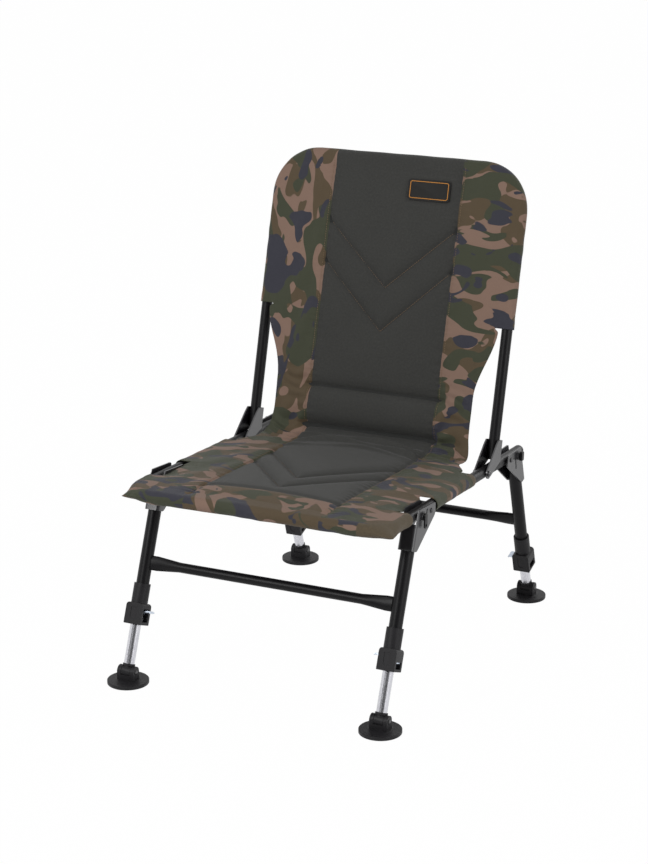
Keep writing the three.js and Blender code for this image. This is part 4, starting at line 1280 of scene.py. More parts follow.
@dataclass
class SleeveStop:
    """One place along a sleeve, where the flat cloth meets the tube.

    Tip and shift draw a corner out and sideways, hem thickens the cloth, sag lowers its underside, and bound
    gives it the hem's own cloth.
    """

    vertex: int
    outward: Vector
    normal: Vector
    tip: float = 0.0
    shift: float = 0.0
    hem: float = 0.0
    sag: float = 0.0
    bound: bool = False


class Cover:
    """The cloth cover: one sheet that is sewn round the tubes, its lining and its thread."""

    def __init__(self, shape: CoverShape, paints: Paintbox, badge: "BadgePlace") -> None:
        """Starts with no points.

        Args:
            shape: The cover's surface.
            paints: The finishes.
            badge: The place of the badge.
        """
        self.shape = shape
        self.sizes = shape.sizes
        self.paints = paints
        self.badge = badge
        self.points: list[Vector] = []
        self.flat: list[Flat] = []
        self.faces: list[tuple[int, int, int, int]] = []
        self.grid: list[list[int]] = []
        self.creased: set[tuple[int, int]] = set()
        self.hems: set[int] = set()
        self.row_places: list[float] = []
        self.tree: BVHTree | None = None

    def hem_spans(self) -> list[Flat]:
        """Lists where the turned hems at the open ends of the sleeves lie.

        Returns:
            The start and end of each along the cloth, from the front on.
        """
        sizes = self.sizes
        back = self.shape.along_at_up(sizes.back_sleeve_start)
        return [
            (sizes.cut_front - sizes.hem, sizes.cut_front),
            (sizes.cut_rear, sizes.cut_rear + sizes.hem),
            (sizes.seat_sleeve_end - sizes.hem, sizes.seat_sleeve_end),
            (back, back + sizes.hem),
        ]

    def rows(self) -> list[float]:
        """Lists the rows of the sheet from its front to its top.

        Returns:
            Their places along the cloth, close in the round corners.
        """
        sizes = self.sizes
        corner = sizes.seat_front + sizes.seat_bend
        bend = self.shape.along_at_up(sizes.back_top - sizes.back_bend)
        stops = [corner, sizes.front_seam, *(place for span in self.hem_spans() for place in span), bend]
        radius, turns = sizes.seat_bend - sizes.sleeve_width, sizes.corner_rows
        places = [corner - radius * math.cos(math.pi / 2 * step / turns) for step in range(turns)]
        for low, high in zip(stops, stops[1:]):
            count = max(1, round((high - low) / sizes.step))
            places += [low + (high - low) * step / count for step in range(count)]
        radius, turns = sizes.back_bend - sizes.sleeve_width, sizes.top_rows
        return places + [bend + radius * math.sin(math.pi / 2 * step / turns) for step in range(turns + 1)]

    def columns(self, half: float) -> list[float]:
        """Lists the columns of a row from its left to its right edge.

        Args:
            half: Half the row's width.

        Returns:
            Their distances from the middle.
        """
        seam, outer = self.sizes.seam_x, self.sizes.side_columns
        inner = round(2 * seam / self.sizes.step)
        left = [-half + (half - seam) * step / outer for step in range(outer)]
        middle = [-seam + 2 * seam * step / inner for step in range(inner)]
        return left + middle + [seam + (half - seam) * step / outer for step in range(outer + 1)]

    def add_point(self, point: Vector, across: float, along: float) -> int:
        """Adds a vertex with its flat place.

        Args:
            point: The vertex.
            across: Its distance from the middle.
            along: Its distance along the cloth.

        Returns:
            Its number.
        """
        self.points.append(point)
        self.flat.append((across, along))
        return len(self.points) - 1

    def edge_rise(self, inward: float) -> float:
        """Gives the rise of the cloth at a distance inward of a tube's middle."""
        return self.sizes.tuck * float(smooth(0, self.sizes.sleeve_width, inward))

    def wrap(self, stop: SleeveStop) -> list[Vector]:
        """Lays the cloth from the end of a row over the outer side of a tube and back under it.

        Args:
            stop: The place along the tube.

        Returns:
            The places of the cloth, from the row on.
        """
        sizes = self.sizes
        base = self.points[stop.vertex]
        full = self.edge_rise(sizes.sleeve_width)
        spots = []
        for share in (1 / 3, 2 / 3):
            away = sizes.sleeve_width * share
            rise = self.edge_rise(sizes.sleeve_width - away) - full
            spots.append(base + stop.outward * away + stop.normal * rise)
        centre = base + stop.outward * sizes.sleeve_width - stop.normal * (sizes.wrap_radius + full)
        radius = sizes.wrap_radius + sizes.hem_rise * stop.hem
        power = 2 / (2 - sizes.tip_squareness * min(stop.tip / sizes.tip_start, 1.0))
        for step in range(sizes.wrap_steps):
            angle = math.radians(90 - sizes.wrap_angle * step)
            cosine, sine = math.cos(angle), math.sin(angle)
            out, lift, sideways = radius * cosine, radius * sine, 0.0
            if cosine > TINY:
                out = (radius + stop.tip) * cosine**power
                lift = radius * math.copysign(abs(sine) ** power, sine) - sizes.tip_droop * stop.tip * cosine
                sideways = stop.shift * cosine
            if sine < 0:
                lift += stop.sag * sine
            spots.append(centre + stop.outward * out + stop.normal * lift + Vector((sideways, 0, 0)))
        return spots

    def sleeve(self, chain: Sequence[SleeveStop]) -> None:
        """Wraps the cloth round a tube.

        Args:
            chain: The places along the tube, in order.
        """
        sizes, space = self.sizes, self.shape.space
        flat_steps = 2
        outermost = flat_steps + 1 + round(90 / sizes.wrap_angle)
        first, last = sizes.tip_crease
        previous: list[int] = []
        for stop in chain:
            across, along = self.flat[stop.vertex]
            toward = 1 if stop.outward.dot(space.along + space.up) > 0 else -1
            step_across = stop.outward.x
            step_along = toward * math.sqrt(max(0.0, 1 - stop.outward.x**2))
            line, arc, before = [stop.vertex], 0.0, self.points[stop.vertex]
            for spot in self.wrap(stop):
                arc += (spot - before).length
                before = spot
                line.append(self.add_point(spot, across + step_across * arc, along + step_along * arc))
            if stop.tip > sizes.tip_start:
                self.creased.update(zip(line[first:last], line[first + 1 : last + 1]))
            if previous and stop.tip > 0:
                self.creased.add((previous[outermost], line[outermost]))
            for j in range(len(previous) - 1):
                if stop.bound and j > flat_steps:
                    self.hems.add(len(self.faces))
                self.faces.append((previous[j], line[j], line[j + 1], previous[j + 1]))
            previous = line

    def side_stop(self, index: int, side: int) -> SleeveStop:
        """Gives the sleeve's place at one end of a row.

        Args:
            index: The row.
            side: 1 for the right end and -1 for the left.

        Returns:
            The place.
        """
        sizes, shape = self.sizes, self.shape
        along = self.row_places[index]
        vertex = self.grid[index][-1 if side > 0 else 0]
        _, normal = shape.base(0, along)
        straight = Vector((side, 0, 0))
        bend, front = sizes.back_top - sizes.back_bend, sizes.seat_front + sizes.seat_bend
        up = along - shape.up_offset
        if along >= shape.fold_end and up > bend:
            angle = math.asin(min(1.0, (up - bend) / (sizes.back_bend - sizes.sleeve_width)))
            return SleeveStop(vertex, straight * math.cos(angle) + shape.space.up * math.sin(angle), normal)
        if along < front:
            angle = math.asin(min(1.0, (front - along) / (sizes.seat_bend - sizes.sleeve_width)))
            outward = straight * math.cos(angle) - shape.space.along * math.sin(angle)
            reach = sizes.seat_bend + sizes.wrap_radius
            tip = reach / max(math.cos(angle), math.sin(angle)) - reach
            shift = sizes.tip_shift * math.sin(2 * angle) ** 2
            return SleeveStop(vertex, outward, normal, tip, shift, bound=side > 0)
        hem = float(any(low - TINY <= along <= high + TINY for low, high in self.hem_spans()))
        rear = hem > 0 and along > sizes.cut_rear + sizes.bound_beyond
        bound = side > 0 and along < shape.fold_start and (along < sizes.cut_front + TINY or rear)
        return SleeveStop(vertex, straight, normal, hem=hem, bound=bound)

    def build_sheet(self) -> Piece:
        """Builds the sheet with its sleeves, still coarse.

        Returns:
            The sheet.
        """
        sizes, shape = self.sizes, self.shape
        self.row_places = rows = self.rows()
        for along in rows:
            line = []
            for across in self.columns(shape.half_width(along)):
                base, normal = shape.base(across, along)
                rise = float(shape.puff(np.array([across]), np.array([along]))[0])
                line.append(self.add_point(base + normal * rise, across, along))
            self.grid.append(line)
        grid = self.grid
        for lower, upper in zip(grid, grid[1:]):
            for c in range(len(lower) - 1):
                self.faces.append((lower[c], lower[c + 1], upper[c + 1], upper[c]))

        def ends(low: float, high: float, side: int) -> list[SleeveStop]:
            """Gives the stops at the right (1) or left (-1) ends of the rows between two places."""
            return [self.side_stop(i, side) for i, a in enumerate(rows) if low - TINY <= a <= high + TINY]

        front = []
        for vertex in reversed(grid[0][1:-1]):
            across = self.flat[vertex][0]
            uneven = math.sin(across * sizes.sag_rates[0] + 1) * math.cos(across * sizes.sag_rates[1])
            sag = sizes.hem_sag * (1 + uneven)
            front.append(SleeveStop(vertex, -shape.space.along, shape.space.normal, sag=sag))
        top = [SleeveStop(v, shape.space.up, -shape.space.rearward) for v in grid[-1][1:-1]]
        seat = (rows[0], sizes.cut_front)
        middle = (sizes.cut_rear, sizes.seat_sleeve_end)
        back = (shape.along_at_up(sizes.back_sleeve_start), rows[-1])
        self.sleeve(ends(*seat, 1)[::-1] + front + ends(*seat, -1))
        self.sleeve(ends(*middle, 1)[::-1])
        self.sleeve(ends(*middle, -1))
        self.sleeve(ends(*back, -1) + top + ends(*back, 1)[::-1])
        made = sewn_sheet("padded_cover", self.points, self.faces)
        self.lay_pattern(made.data)
        smooth_faces(made)
        return made

    def lay_pattern(self, mesh: bpy.types.Mesh) -> None:
        """Keeps the flat pattern, the lay of each printed strip, the flat places and the creased edges.

        Args:
            mesh: The sheet's mesh.
        """
        sizes = self.sizes
        seam, fold = sizes.seam_x, self.shape.fold_start
        flat = mesh.uv_layers.new(name="pattern")
        drawn = mesh.uv_layers.new(name="print")
        for polygon in mesh.polygons:
            corners = [self.flat[mesh.loops[i].vertex_index] for i in polygon.loop_indices]
            middle, low = (sum(places) / len(corners) for places in zip(*corners))
            panel, front = abs(middle) < seam, low < sizes.front_seam
            polygon.material_index = 2 if polygon.index in self.hems else 0
            if panel and low > sizes.front_seam:
                polygon.material_index = 1
            for i, (across, along) in zip(polygon.loop_indices, corners):
                lay = sizes.right_lay
                if panel and front:
                    lay = sizes.front_lay
                elif middle < 0:
                    up = float(smooth(fold, fold + sizes.lay_turn, along))
                    lay = sizes.left_seat_lay.towards(sizes.left_back_lay, up)
                flat.data[i].uv = (across, along)
                drawn.data[i].uv = lay.at(across, along)
        sharp = mesh.attributes.new("crease_edge", "FLOAT", "EDGE")
        pairs = {tuple(sorted(pair)) for pair in self.creased}
        sharp.data.foreach_set("value", [float(tuple(sorted(edge.vertices)) in pairs) for edge in mesh.edges])
        place = mesh.attributes.new("flat_place", "FLOAT_VECTOR", "POINT")
        place.data.foreach_set("vector", [v for across, along in self.flat for v in (across, along, 0.0)])

    def held(self) -> dict[str, np.ndarray]:
        """Weighs each vertex for the simulation.

        Returns:
            How far it is pinned, gathered and pushed, from 0 to 1.
        """
        sizes, shape, firm = self.sizes, self.shape, self.sizes.pinning
        across, along = np.array(self.flat).T
        away = np.abs(across)
        panel = away < sizes.seam_x
        edge = np.abs(np.array([shape.half_width(a) for a in along]) - away) < firm.edge_reach
        free = (along > sizes.seat_sleeve_end) & (along < shape.along_at_up(sizes.back_sleeve_start))
        rim = (along <= self.row_places[0] + TINY) | (along >= self.row_places[-1] - TINY)
        sleeves = np.arange(len(along)) >= sum(len(line) for line in self.grid)
        pins = [
            (1.0, sleeves | (edge & ~free) | rim),
            (firm.free_edge, edge & free),
            (firm.side_seam, np.abs(away - sizes.seam_x) < firm.seam_reach),
            (firm.chevron, shape.chevron_distance(across, along) < firm.seam_reach),
            (firm.front_seam, panel & (np.abs(along - sizes.front_seam) < firm.seam_reach)),
        ]
        for up in sizes.rolls:
            pins.append((firm.roll, panel & (np.abs(along - shape.along_at_up(up)) < firm.seam_reach)))
        gather = smooth(*sizes.cloth_gather, along)
        gather *= 1 - smooth(*map(shape.along_at_up, sizes.cloth_gather_end_ups), along)
        return {
            "pin": np.max([weight * where for weight, where in pins], axis=0),
            "gather": gather * np.where(panel, 0.0, 1.0),
            "push": np.where(panel, 1.0, firm.border_push),
        }

    def simulate(self, sheet: Piece) -> None:
        """Lets the padding press the cloth out between its seams, and applies the result.

        Args:
            sheet: The coarse sheet.
        """
        sizes = self.sizes
        for name, weights in self.held().items():
            group = sheet.vertex_groups.new(name=name)
            for index, weight in enumerate(weights):
                if weight > sizes.least_weight:
                    group.add([index], float(weight), "REPLACE")
        modifier = sheet.modifiers.new("cloth", "CLOTH")
        settings = modifier.settings
        settings.quality = 4
        settings.mass = 0.25
        settings.tension_stiffness = settings.compression_stiffness = 12
        settings.shear_stiffness = 6
        settings.bending_stiffness = 1.5
        settings.vertex_group_mass = "pin"
        settings.vertex_group_shrink = "gather"
        settings.shrink_min, settings.shrink_max = 0.0, -0.05
        settings.use_pressure = True
        settings.uniform_pressure_force = 4.0
        settings.vertex_group_pressure = "push"
        settings.effector_weights.gravity = 0
        modifier.collision_settings.use_collision = False
        modifier.collision_settings.use_self_collision = False
        scene = bpy.context.scene
        for frame_number in range(1, sizes.cloth_frames + 1):
            scene.frame_set(frame_number)
        moved = sheet.evaluated_get(bpy.context.evaluated_depsgraph_get()).data
        after, before = vectors(moved.vertices, "co"), vectors(sheet.data.vertices, "co")
        normals = vectors(sheet.data.vertices, "normal")
        sheet.modifiers.remove(modifier)
        scene.frame_set(1)
        shift = self.evened(after - before)
        rise = (shift * normals).sum(1)
        LOG.info("cloth rises %.1f to %.1f mm", rise.min() / MILLIMETRE, rise.max() / MILLIMETRE)
        sideways = shift - normals * rise[:, None]
        length = np.linalg.norm(sideways, axis=1, keepdims=True)
        sideways *= np.minimum(1, sizes.cloth_slip / np.maximum(length, TINY))
        kept = np.clip(rise, -sizes.cloth_sink, sizes.cloth_cap)
        sheet.data.vertices.foreach_set("co", (before + normals * kept[:, None] + sideways).ravel())
        sheet.data.update()
        sheet.vertex_groups.clear()

    def evened(self, shift: np.ndarray) -> np.ndarray:
        """Evens out movements between neighbouring vertices, so that no ripple of one mesh step stays.

        Args:
            shift: The movement of each vertex.

        Returns:
            The evened movements.
        """
        pairs = np.array([(a, b) for face in self.faces for a, b in zip(face, face[1:] + face[:1])])
        for _ in range(self.sizes.evening):
            total, count = shift.copy(), np.ones((len(shift), 1))
            for one, other in (pairs.T, pairs.T[::-1]):
                np.add.at(total, one, shift[other])
                np.add.at(count, one, 1)
            shift = total / count
        return shift

    def refine(self, piece: Piece) -> None:
        """Smooths the sheet, sews in its seams and wrinkles, and seats it under the badge.

        Args:
            piece: The sheet.
        """
        apply_modifier(piece, "SUBSURF", levels=1, render_levels=1, uv_smooth="NONE")
        mesh, sizes, shape, space = piece.data, self.sizes, self.shape, self.shape.space
        across, along, _ = vectors(mesh.attributes["flat_place"].data, "vector").T
        rim = np.array([shape.half_width(a) for a in along]) - np.abs(across)
        keep = 1 - smooth(0.0, sizes.sleeve_width, np.maximum(-rim, 0))
        keep *= 1 - smooth(0.0, sizes.sleeve_width, self.row_places[0] - along)
        keep *= 1 - smooth(0.0, sizes.sleeve_width, along - self.row_places[-1])
        height = keep * (shape.seams(across, along) + shape.wrinkles(across, along, rim))
        height -= keep * shape.cut_sag(rim, along)
        height += (1 - keep) * shape.sleeve_ripples(across, along)
        moved = vectors(mesh.vertices, "co") + vectors(mesh.vertices, "normal") * height[:, None]
        local = moved - np.array(space.back_foot)
        up, behind = local @ np.array(space.up), local @ np.array(space.rearward)
        moved += np.array(space.rearward) * self.badge.pull(across, up, behind)[:, None]
        mesh.vertices.foreach_set("co", moved.ravel())
        mesh.update()

    def build(self) -> Piece:
        """Builds the finished cover.

        Returns:
            The cover.
        """
        sheet = self.build_sheet()
        self.simulate(sheet)
        self.refine(sheet)
        corners, rings = [v.co for v in sheet.data.vertices], [tuple(p.vertices) for p in sheet.data.polygons]
        self.tree = BVHTree.FromPolygons(corners, rings)
        apply_modifier(sheet, "SOLIDIFY", thickness=self.sizes.thickness, offset=-1.0, material_offset=3)
        smooth_faces(sheet)
        self.paints.dress(sheet, Finish.PATTERN_CLOTH, Finish.PANEL_CLOTH, Finish.HEM_CLOTH, Finish.LINING)
        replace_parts(sheet, "seat_cushion", "backrest_cushion")
        return sheet

    def bend(self, piece: Piece) -> None:
        """Applies the piece's place to its mesh."""
        space = self.shape.space
        space.seat(0, 0.255, 0)
        space.seat(0, 0.335, 0.045)
        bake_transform(piece)

    def lining_places(self, across: float, along: float, half: float) -> tuple[Vector, Vector]:
        """Gives the top and the underside of the pad at one flat place.

        Args:
            across: Distance from the middle.
            along: Distance along the cloth.
            half: Half the pad's width there.

        Returns:
            The two places.
        """
        sizes, shape = self.sizes, self.shape
        one, other = np.array([across]), np.array([along])
        base, normal = shape.base(across, along)
        base = base - normal * float(shape.cut_sag(np.array([half - abs(across)]), other)[0])
        dip = min(float(shape.seams(one, other)[0]), 0.0)
        rise = float(shape.puff(one, other)[0]) + dip - sizes.lining_drop
        full = 1 - (abs(across) / half) ** sizes.lining_squareness
        depth = sizes.lining_edge + sizes.lining_depth * full
        depth -= float(sizes.lining_seam.at(abs(across) - sizes.seam_x))
        return base + normal * rise, base - normal * max(depth, sizes.lining_least - rise)

    def build_lining(self) -> Piece:
        """Builds the closed foam pad and its dark lining under the cover.

        Returns:
            The pad.
        """
        count = self.sizes.lining_columns
        rows = [*self.row_places[:-1:2], self.row_places[-1]]
        points: list[Vector] = []
        flat: list[Flat] = []
        faces: list[tuple[int, ...]] = []
        tops: list[list[int]] = []
        lows: list[list[int]] = []
        for along in rows:
            half = self.shape.half_width(along) - self.sizes.lining_inset
            top, low = [], []
            for step in range(count + 1):
                across = -half + 2 * half * step / count
                closed = along in (rows[0], rows[-1]) or step in (0, count)
                places = self.lining_places(across, along, half)[: 1 if closed else 2]
                top.append(len(points))
                low.append(len(points) + len(places) - 1)
                points += places
                flat += [(across, along)] * len(places)
            tops.append(top)
            lows.append(low)
        for r in range(len(rows) - 1):
            for c in range(count):
                faces.append((tops[r][c], tops[r][c + 1], tops[r + 1][c + 1], tops[r + 1][c]))
                under = (lows[r][c], lows[r + 1][c], lows[r + 1][c + 1], lows[r][c + 1])
                if len(set(under)) > 2:
                    faces.append(tuple(dict.fromkeys(under)))
        made = sewn_sheet("padding_and_lining", points, faces)
        layer = made.data.uv_layers.new(name="pattern")
        for loop in made.data.loops:
            layer.data[loop.index].uv = flat[loop.vertex_index]
        apply_modifier(made, "SUBSURF", levels=1, render_levels=1)
        smooth_faces(made)
        self.paints.dress(made, Finish.LINING)
        return made

    def seam_lines(self) -> list[tuple[Flat, Flat]]:
        """Lists the sewn lines.

        Returns:
            The flat places of the two ends of each.
        """
        sizes, shape = self.sizes, self.shape
        high = shape.along_at_up(sizes.back_top - sizes.stitch_top)
        seam, beside = sizes.seam_x, sizes.seam_x + sizes.stitch_beside
        lines = [((side * beside, sizes.seat_front), (side * beside, high)) for side in (1, -1)]
        cross = [sizes.front_seam - sizes.stitch_beside, *map(shape.along_at_up, sizes.rolls)]
        lines += [((-seam, along), (seam, along)) for along in cross]
        for tip, edge in shape.chevrons():
            lines += [((-seam, edge), (0, tip)), ((0, tip), (seam, edge))]
        return lines

    def surface(self, across: float, along: float) -> tuple[Vector, Vector]:
        """Finds the finished cover above a flat place.

        Args:
            across: Distance from the middle.
            along: Distance along the cloth.

        Returns:
            The place and the direction out of the cloth.
        """
        base, normal = self.shape.base(across, along)
        place, facing, *_ = self.tree.ray_cast(base + normal * self.sizes.ray, -normal, 2 * self.sizes.ray)
        if place is None:
            return base, normal
        return place, facing if facing.dot(normal) > 0 else -facing

    def stitch(self) -> Piece:
        """Models one stitch of thread, which dives into the cloth at both ends.

        Returns:
            The stitch, along X and round the origin.
        """
        radius, length = self.sizes.thread_radius, self.sizes.stitch_length
        straight_share, dive_share, tail_share = 0.6, 0.2, 0.4
        made = primitive(
            "stitch",
            bpy.ops.mesh.primitive_cylinder_add,
            vertices=self.sizes.thread_sides,
            radius=radius,
            depth=length * straight_share,
            rotation=(0, math.pi / 2, 0),
        )
        apply_place()
        for side in (1, -1):
            select_faces(made, lambda normal: normal.x * side > FACING)
            with editing(made):
                dive = {"value": (side * length * dive_share, 0, -radius)}
                bpy.ops.mesh.extrude_region_move(TRANSFORM_OT_translate=dive)
                bpy.ops.transform.resize(value=(tail_share,) * 3)
        return made

    def build_thread(self) -> Piece:
        """Copies the stitch every few millimetres along each seam and joins the copies.

        Returns:
            The thread.
        """
        model = self.stitch()
        corners = [v.co.copy() for v in model.data.vertices]
        rings = [tuple(p.vertices) for p in model.data.polygons]
        bpy.data.objects.remove(model)
        points: list[Vector] = []
        faces: list[tuple[int, ...]] = []
        for start, end in self.seam_lines():
            count = max(2, round(math.dist(start, end) / self.sizes.stitch_pitch))
            shares = [(step + 0.5) / count for step in range(count)]
            places = [self.surface(*(a + (b - a) * share for a, b in zip(start, end))) for share in shares]
            for step, (point, normal) in enumerate(places):
                after = places[min(step + 1, count - 1)][0] - places[max(step - 1, 0)][0]
                if after.length < TINY:
                    continue
                ahead = after.normalized()
                side = normal.cross(ahead).normalized()
                lift = ahead.cross(side).normalized()
                first = len(points)
                points += [point + ahead * c.x + side * c.y + lift * c.z for c in corners]
                faces += [tuple(first + i for i in ring) for ring in rings]
        made = sewn_sheet("seam_thread", points, faces)
        smooth_faces(made)
        self.paints.dress(made, Finish.THREAD)
        return made


@dataclass
class BadgePlace:
    """Where the rubber patch lies on the back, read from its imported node."""

    left: float
    right: float
    low: float
    high: float
    slope: float
    rear: float
    front: float
    margin: float = 0.009
    gap: float = 0.0003
    cloth_front: float = 0.002

    @classmethod
    def from_node(cls, node: Piece, space: SeatSpace) -> "BadgePlace":
        """Reads the patch's outline and the planes of its two faces.

        Args:
            node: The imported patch.
            space: The seat's places.

        Returns:
            The place of the patch.
        """
        local = [v.co - space.back_foot for v in node.data.vertices]
        up = np.array([p.dot(space.up) for p in local])
        behind = np.array([p.dot(space.rearward) for p in local])
        slope = float(np.polyfit(up, behind, 1)[0])
        level = behind - slope * up
        across = [p.x for p in local]
        low, high = float(up.min()), float(up.max())
        return cls(min(across), max(across), low, high, slope, float(level.max()), float(level.min()))

    def pull(self, across: np.ndarray, up: np.ndarray, behind: np.ndarray) -> np.ndarray:
        """Gives how far the cloth moves back so that it lies flat under the patch.

        Args:
            across: Distances from the middle.
            up: Heights up the back.
            behind: Distances behind the back's tubes.

        Returns:
            The movements rearwards, 0 away from the patch.
        """
        beside = np.maximum(np.maximum(self.left - across, across - self.right), 0)
        over = np.maximum(np.maximum(self.low - up, up - self.high), 0)
        near = 1 - smooth(0.0, self.margin, np.hypot(beside, over))
        seated = self.slope * up + self.rear + self.gap
        return np.where(behind < self.cloth_front, near * (seated - behind), 0)


@dataclass
class Badge:
    """The rubber patch, left bare, and the thin border round it."""

    place: BadgePlace
    space: SeatSpace
    paints: Paintbox
    inset: float = 0.0034
    line: float = 0.0012
    rise: float = 0.0004
    corner: float = 0.006
    edge: float = 0.0003

    def rounded(self, name: str, inset: float, corner: float) -> Piece:
        """Models a flat rectangle with round corners, as large as the patch less an inset.

        Args:
            name: Its name.
            inset: How much smaller it is on each side.
            corner: Radius of its corners.

        Returns:
            The rectangle, in edit mode with its face selected.
        """
        place = self.place
        made = primitive(name, bpy.ops.mesh.primitive_plane_add, size=1)
        bpy.ops.object.mode_set(mode="EDIT")
        bpy.ops.mesh.select_all(action="SELECT")
        size = (place.right - place.left - inset * 2, place.high - place.low - inset * 2, 1)
        bpy.ops.transform.resize(value=size)
        bpy.ops.mesh.bevel(offset=corner, segments=6, affect="VERTICES")
        bpy.ops.mesh.select_all(action="SELECT")
        return made

    def lay(self, made: Piece, level: float, finish: Finish) -> Piece:
        """Lays a piece on the back at a level between the patch's faces.

        Args:
            made: The piece, modelled round the origin with its front up.
            level: Where its underside comes, as a distance behind the back's tubes.
            finish: What it is made of.

        Returns:
            The piece.
        """
        place, space = self.place, self.space
        bpy.ops.object.mode_set(mode="OBJECT")
        middle = (place.low + place.high) / 2
        tilt = math.atan(place.slope)
        upward = space.up * math.cos(tilt) + space.rearward * math.sin(tilt)
        across = Vector((1, 0, 0))
        turn = Matrix((across, upward, across.cross(upward))).transposed().to_4x4()
        where = space.back((place.left + place.right) / 2, middle, place.slope * middle + level)
        made.data.transform(Matrix.Translation(where) @ turn)
        apply_modifier(made, "BEVEL", width=self.edge, segments=3, limit_method="ANGLE", harden_normals=True)
        smooth_faces(made)
        self.paints.dress(made, finish)
        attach(made, "backrest")
        LOG.info("%s has %d faces", made.name, len(made.data.polygons))
        return made

    def build(self) -> None:
        """Models the patch as a rounded plate, and the border as a ring on it."""
        place = self.place
        plate = self.rounded("rubber_patch", 0.0, self.corner)
        bpy.ops.mesh.extrude_region_move(TRANSFORM_OT_translate={"value": (0, 0, place.rear - place.front)})
        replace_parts(self.lay(plate, place.rear, Finish.RUBBER), "badge_patch")
        border = self.rounded("patch_border", self.inset, self.corner - self.inset + self.line)
        bpy.ops.mesh.inset(thickness=self.line)
        bpy.ops.mesh.delete(type="FACE")
        bpy.ops.mesh.select_all(action="SELECT")
        bpy.ops.mesh.extrude_region_move(TRANSFORM_OT_translate={"value": (0, 0, self.rise * 2)})
        self.lay(border, place.front + self.rise, Finish.BORDER)


# Frame

# The words in the nodes' names that tell their finish. The others are zinc-plated.
NODE_FINISHES = {
    Finish.CHROME: ("inner_leg",),
    Finish.BRACKET_PAINT: ("leg_bracket", "backrest_bracket", "pivot_rivet", "hinge_bolt", "foot_pin"),
    Finish.FRAME_PAINT: ("lock_pin", "crossbar", "leg_tube", "seat_frame_tube", "backrest_tube"),
    Finish.PLASTIC: ("lock_housing", "foot_knuckle", "foot_disc", "rail_end_cap"),
    Finish.RUBBER: ("badge_patch",),
    Finish.SPRING: ("lock_spring",),
}


@dataclass
class FrameWork:
    """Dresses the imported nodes."""

    nodes: dict[str, Piece]
    paints: Paintbox
    weld: float = 0.00001
    soft_edge: float = 0.0004
    soft_angle: float = 35.0

    def finish_of(self, name: str) -> Finish:
        """Gives the finish of a node by its name."""
        found = (finish for finish, words in NODE_FINISHES.items() if any(word in name for word in words))
        return next(found, Finish.ZINC)

    def dress(self) -> None:
        """Gives each node its finish, smooth shading and softened edges, and rounds the springs' wire."""
        for name, node in self.nodes.items():
            finish = self.finish_of(name)
            self.paints.dress(node, finish)
            smooth_faces(node)
            add_modifier(node, "WELD", merge_threshold=self.weld)
            if finish is Finish.SPRING:
                add_modifier(node, "SUBSURF", levels=2, render_levels=2)
            else:
                angle = math.radians(self.soft_angle)
                add_modifier(
                    node, "BEVEL", width=self.soft_edge, segments=2, limit_method="ANGLE", angle_limit=angle
                )
                add_modifier(node, "WEIGHTED_NORMAL", keep_sharp=True, weight=80)
            LOG.info("dressed %s", name)


@dataclass
class FootTread:
    """The turned rim of a foot disc, rounder than the disc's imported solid."""

    paints: Paintbox
    radius: float = 0.035
    height: float = 0.00608
    rim: float = 0.0019
    groove_radius: float = 0.0295
    groove: float = 0.0006
    sides: int = 96

    def build(self, foot: str, place: Vector) -> None:
        """Turns one disc round the foot's pivot.

        Args:
            foot: The body that it rides on.
            place: The foot's pivot.
        """
        made = primitive(
            foot + "_tread",
            bpy.ops.mesh.primitive_cylinder_add,
            vertices=self.sides,
            radius=self.radius,
            depth=self.height,
            location=(place.x, place.y, self.height / 2),
        )
        apply_place()
        select_faces(made, lambda normal: normal.z > FACING)
        with editing(made):
            bpy.ops.mesh.inset(thickness=self.radius - self.groove_radius)
            bpy.ops.mesh.inset(thickness=self.groove, depth=-self.groove)
            bpy.ops.mesh.inset(thickness=self.groove, depth=self.groove)
        square = math.radians(80)
        apply_modifier(made, "BEVEL", width=self.rim, segments=4, limit_method="ANGLE", angle_limit=square)
        smooth_faces(made)
        apply_modifier(made, "WEIGHTED_NORMAL", weight=80)
        self.paints.dress(made, Finish.PLASTIC)
        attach(made, foot)
        LOG.info("%s has %d faces", made.name, len(made.data.polygons))


# Studio


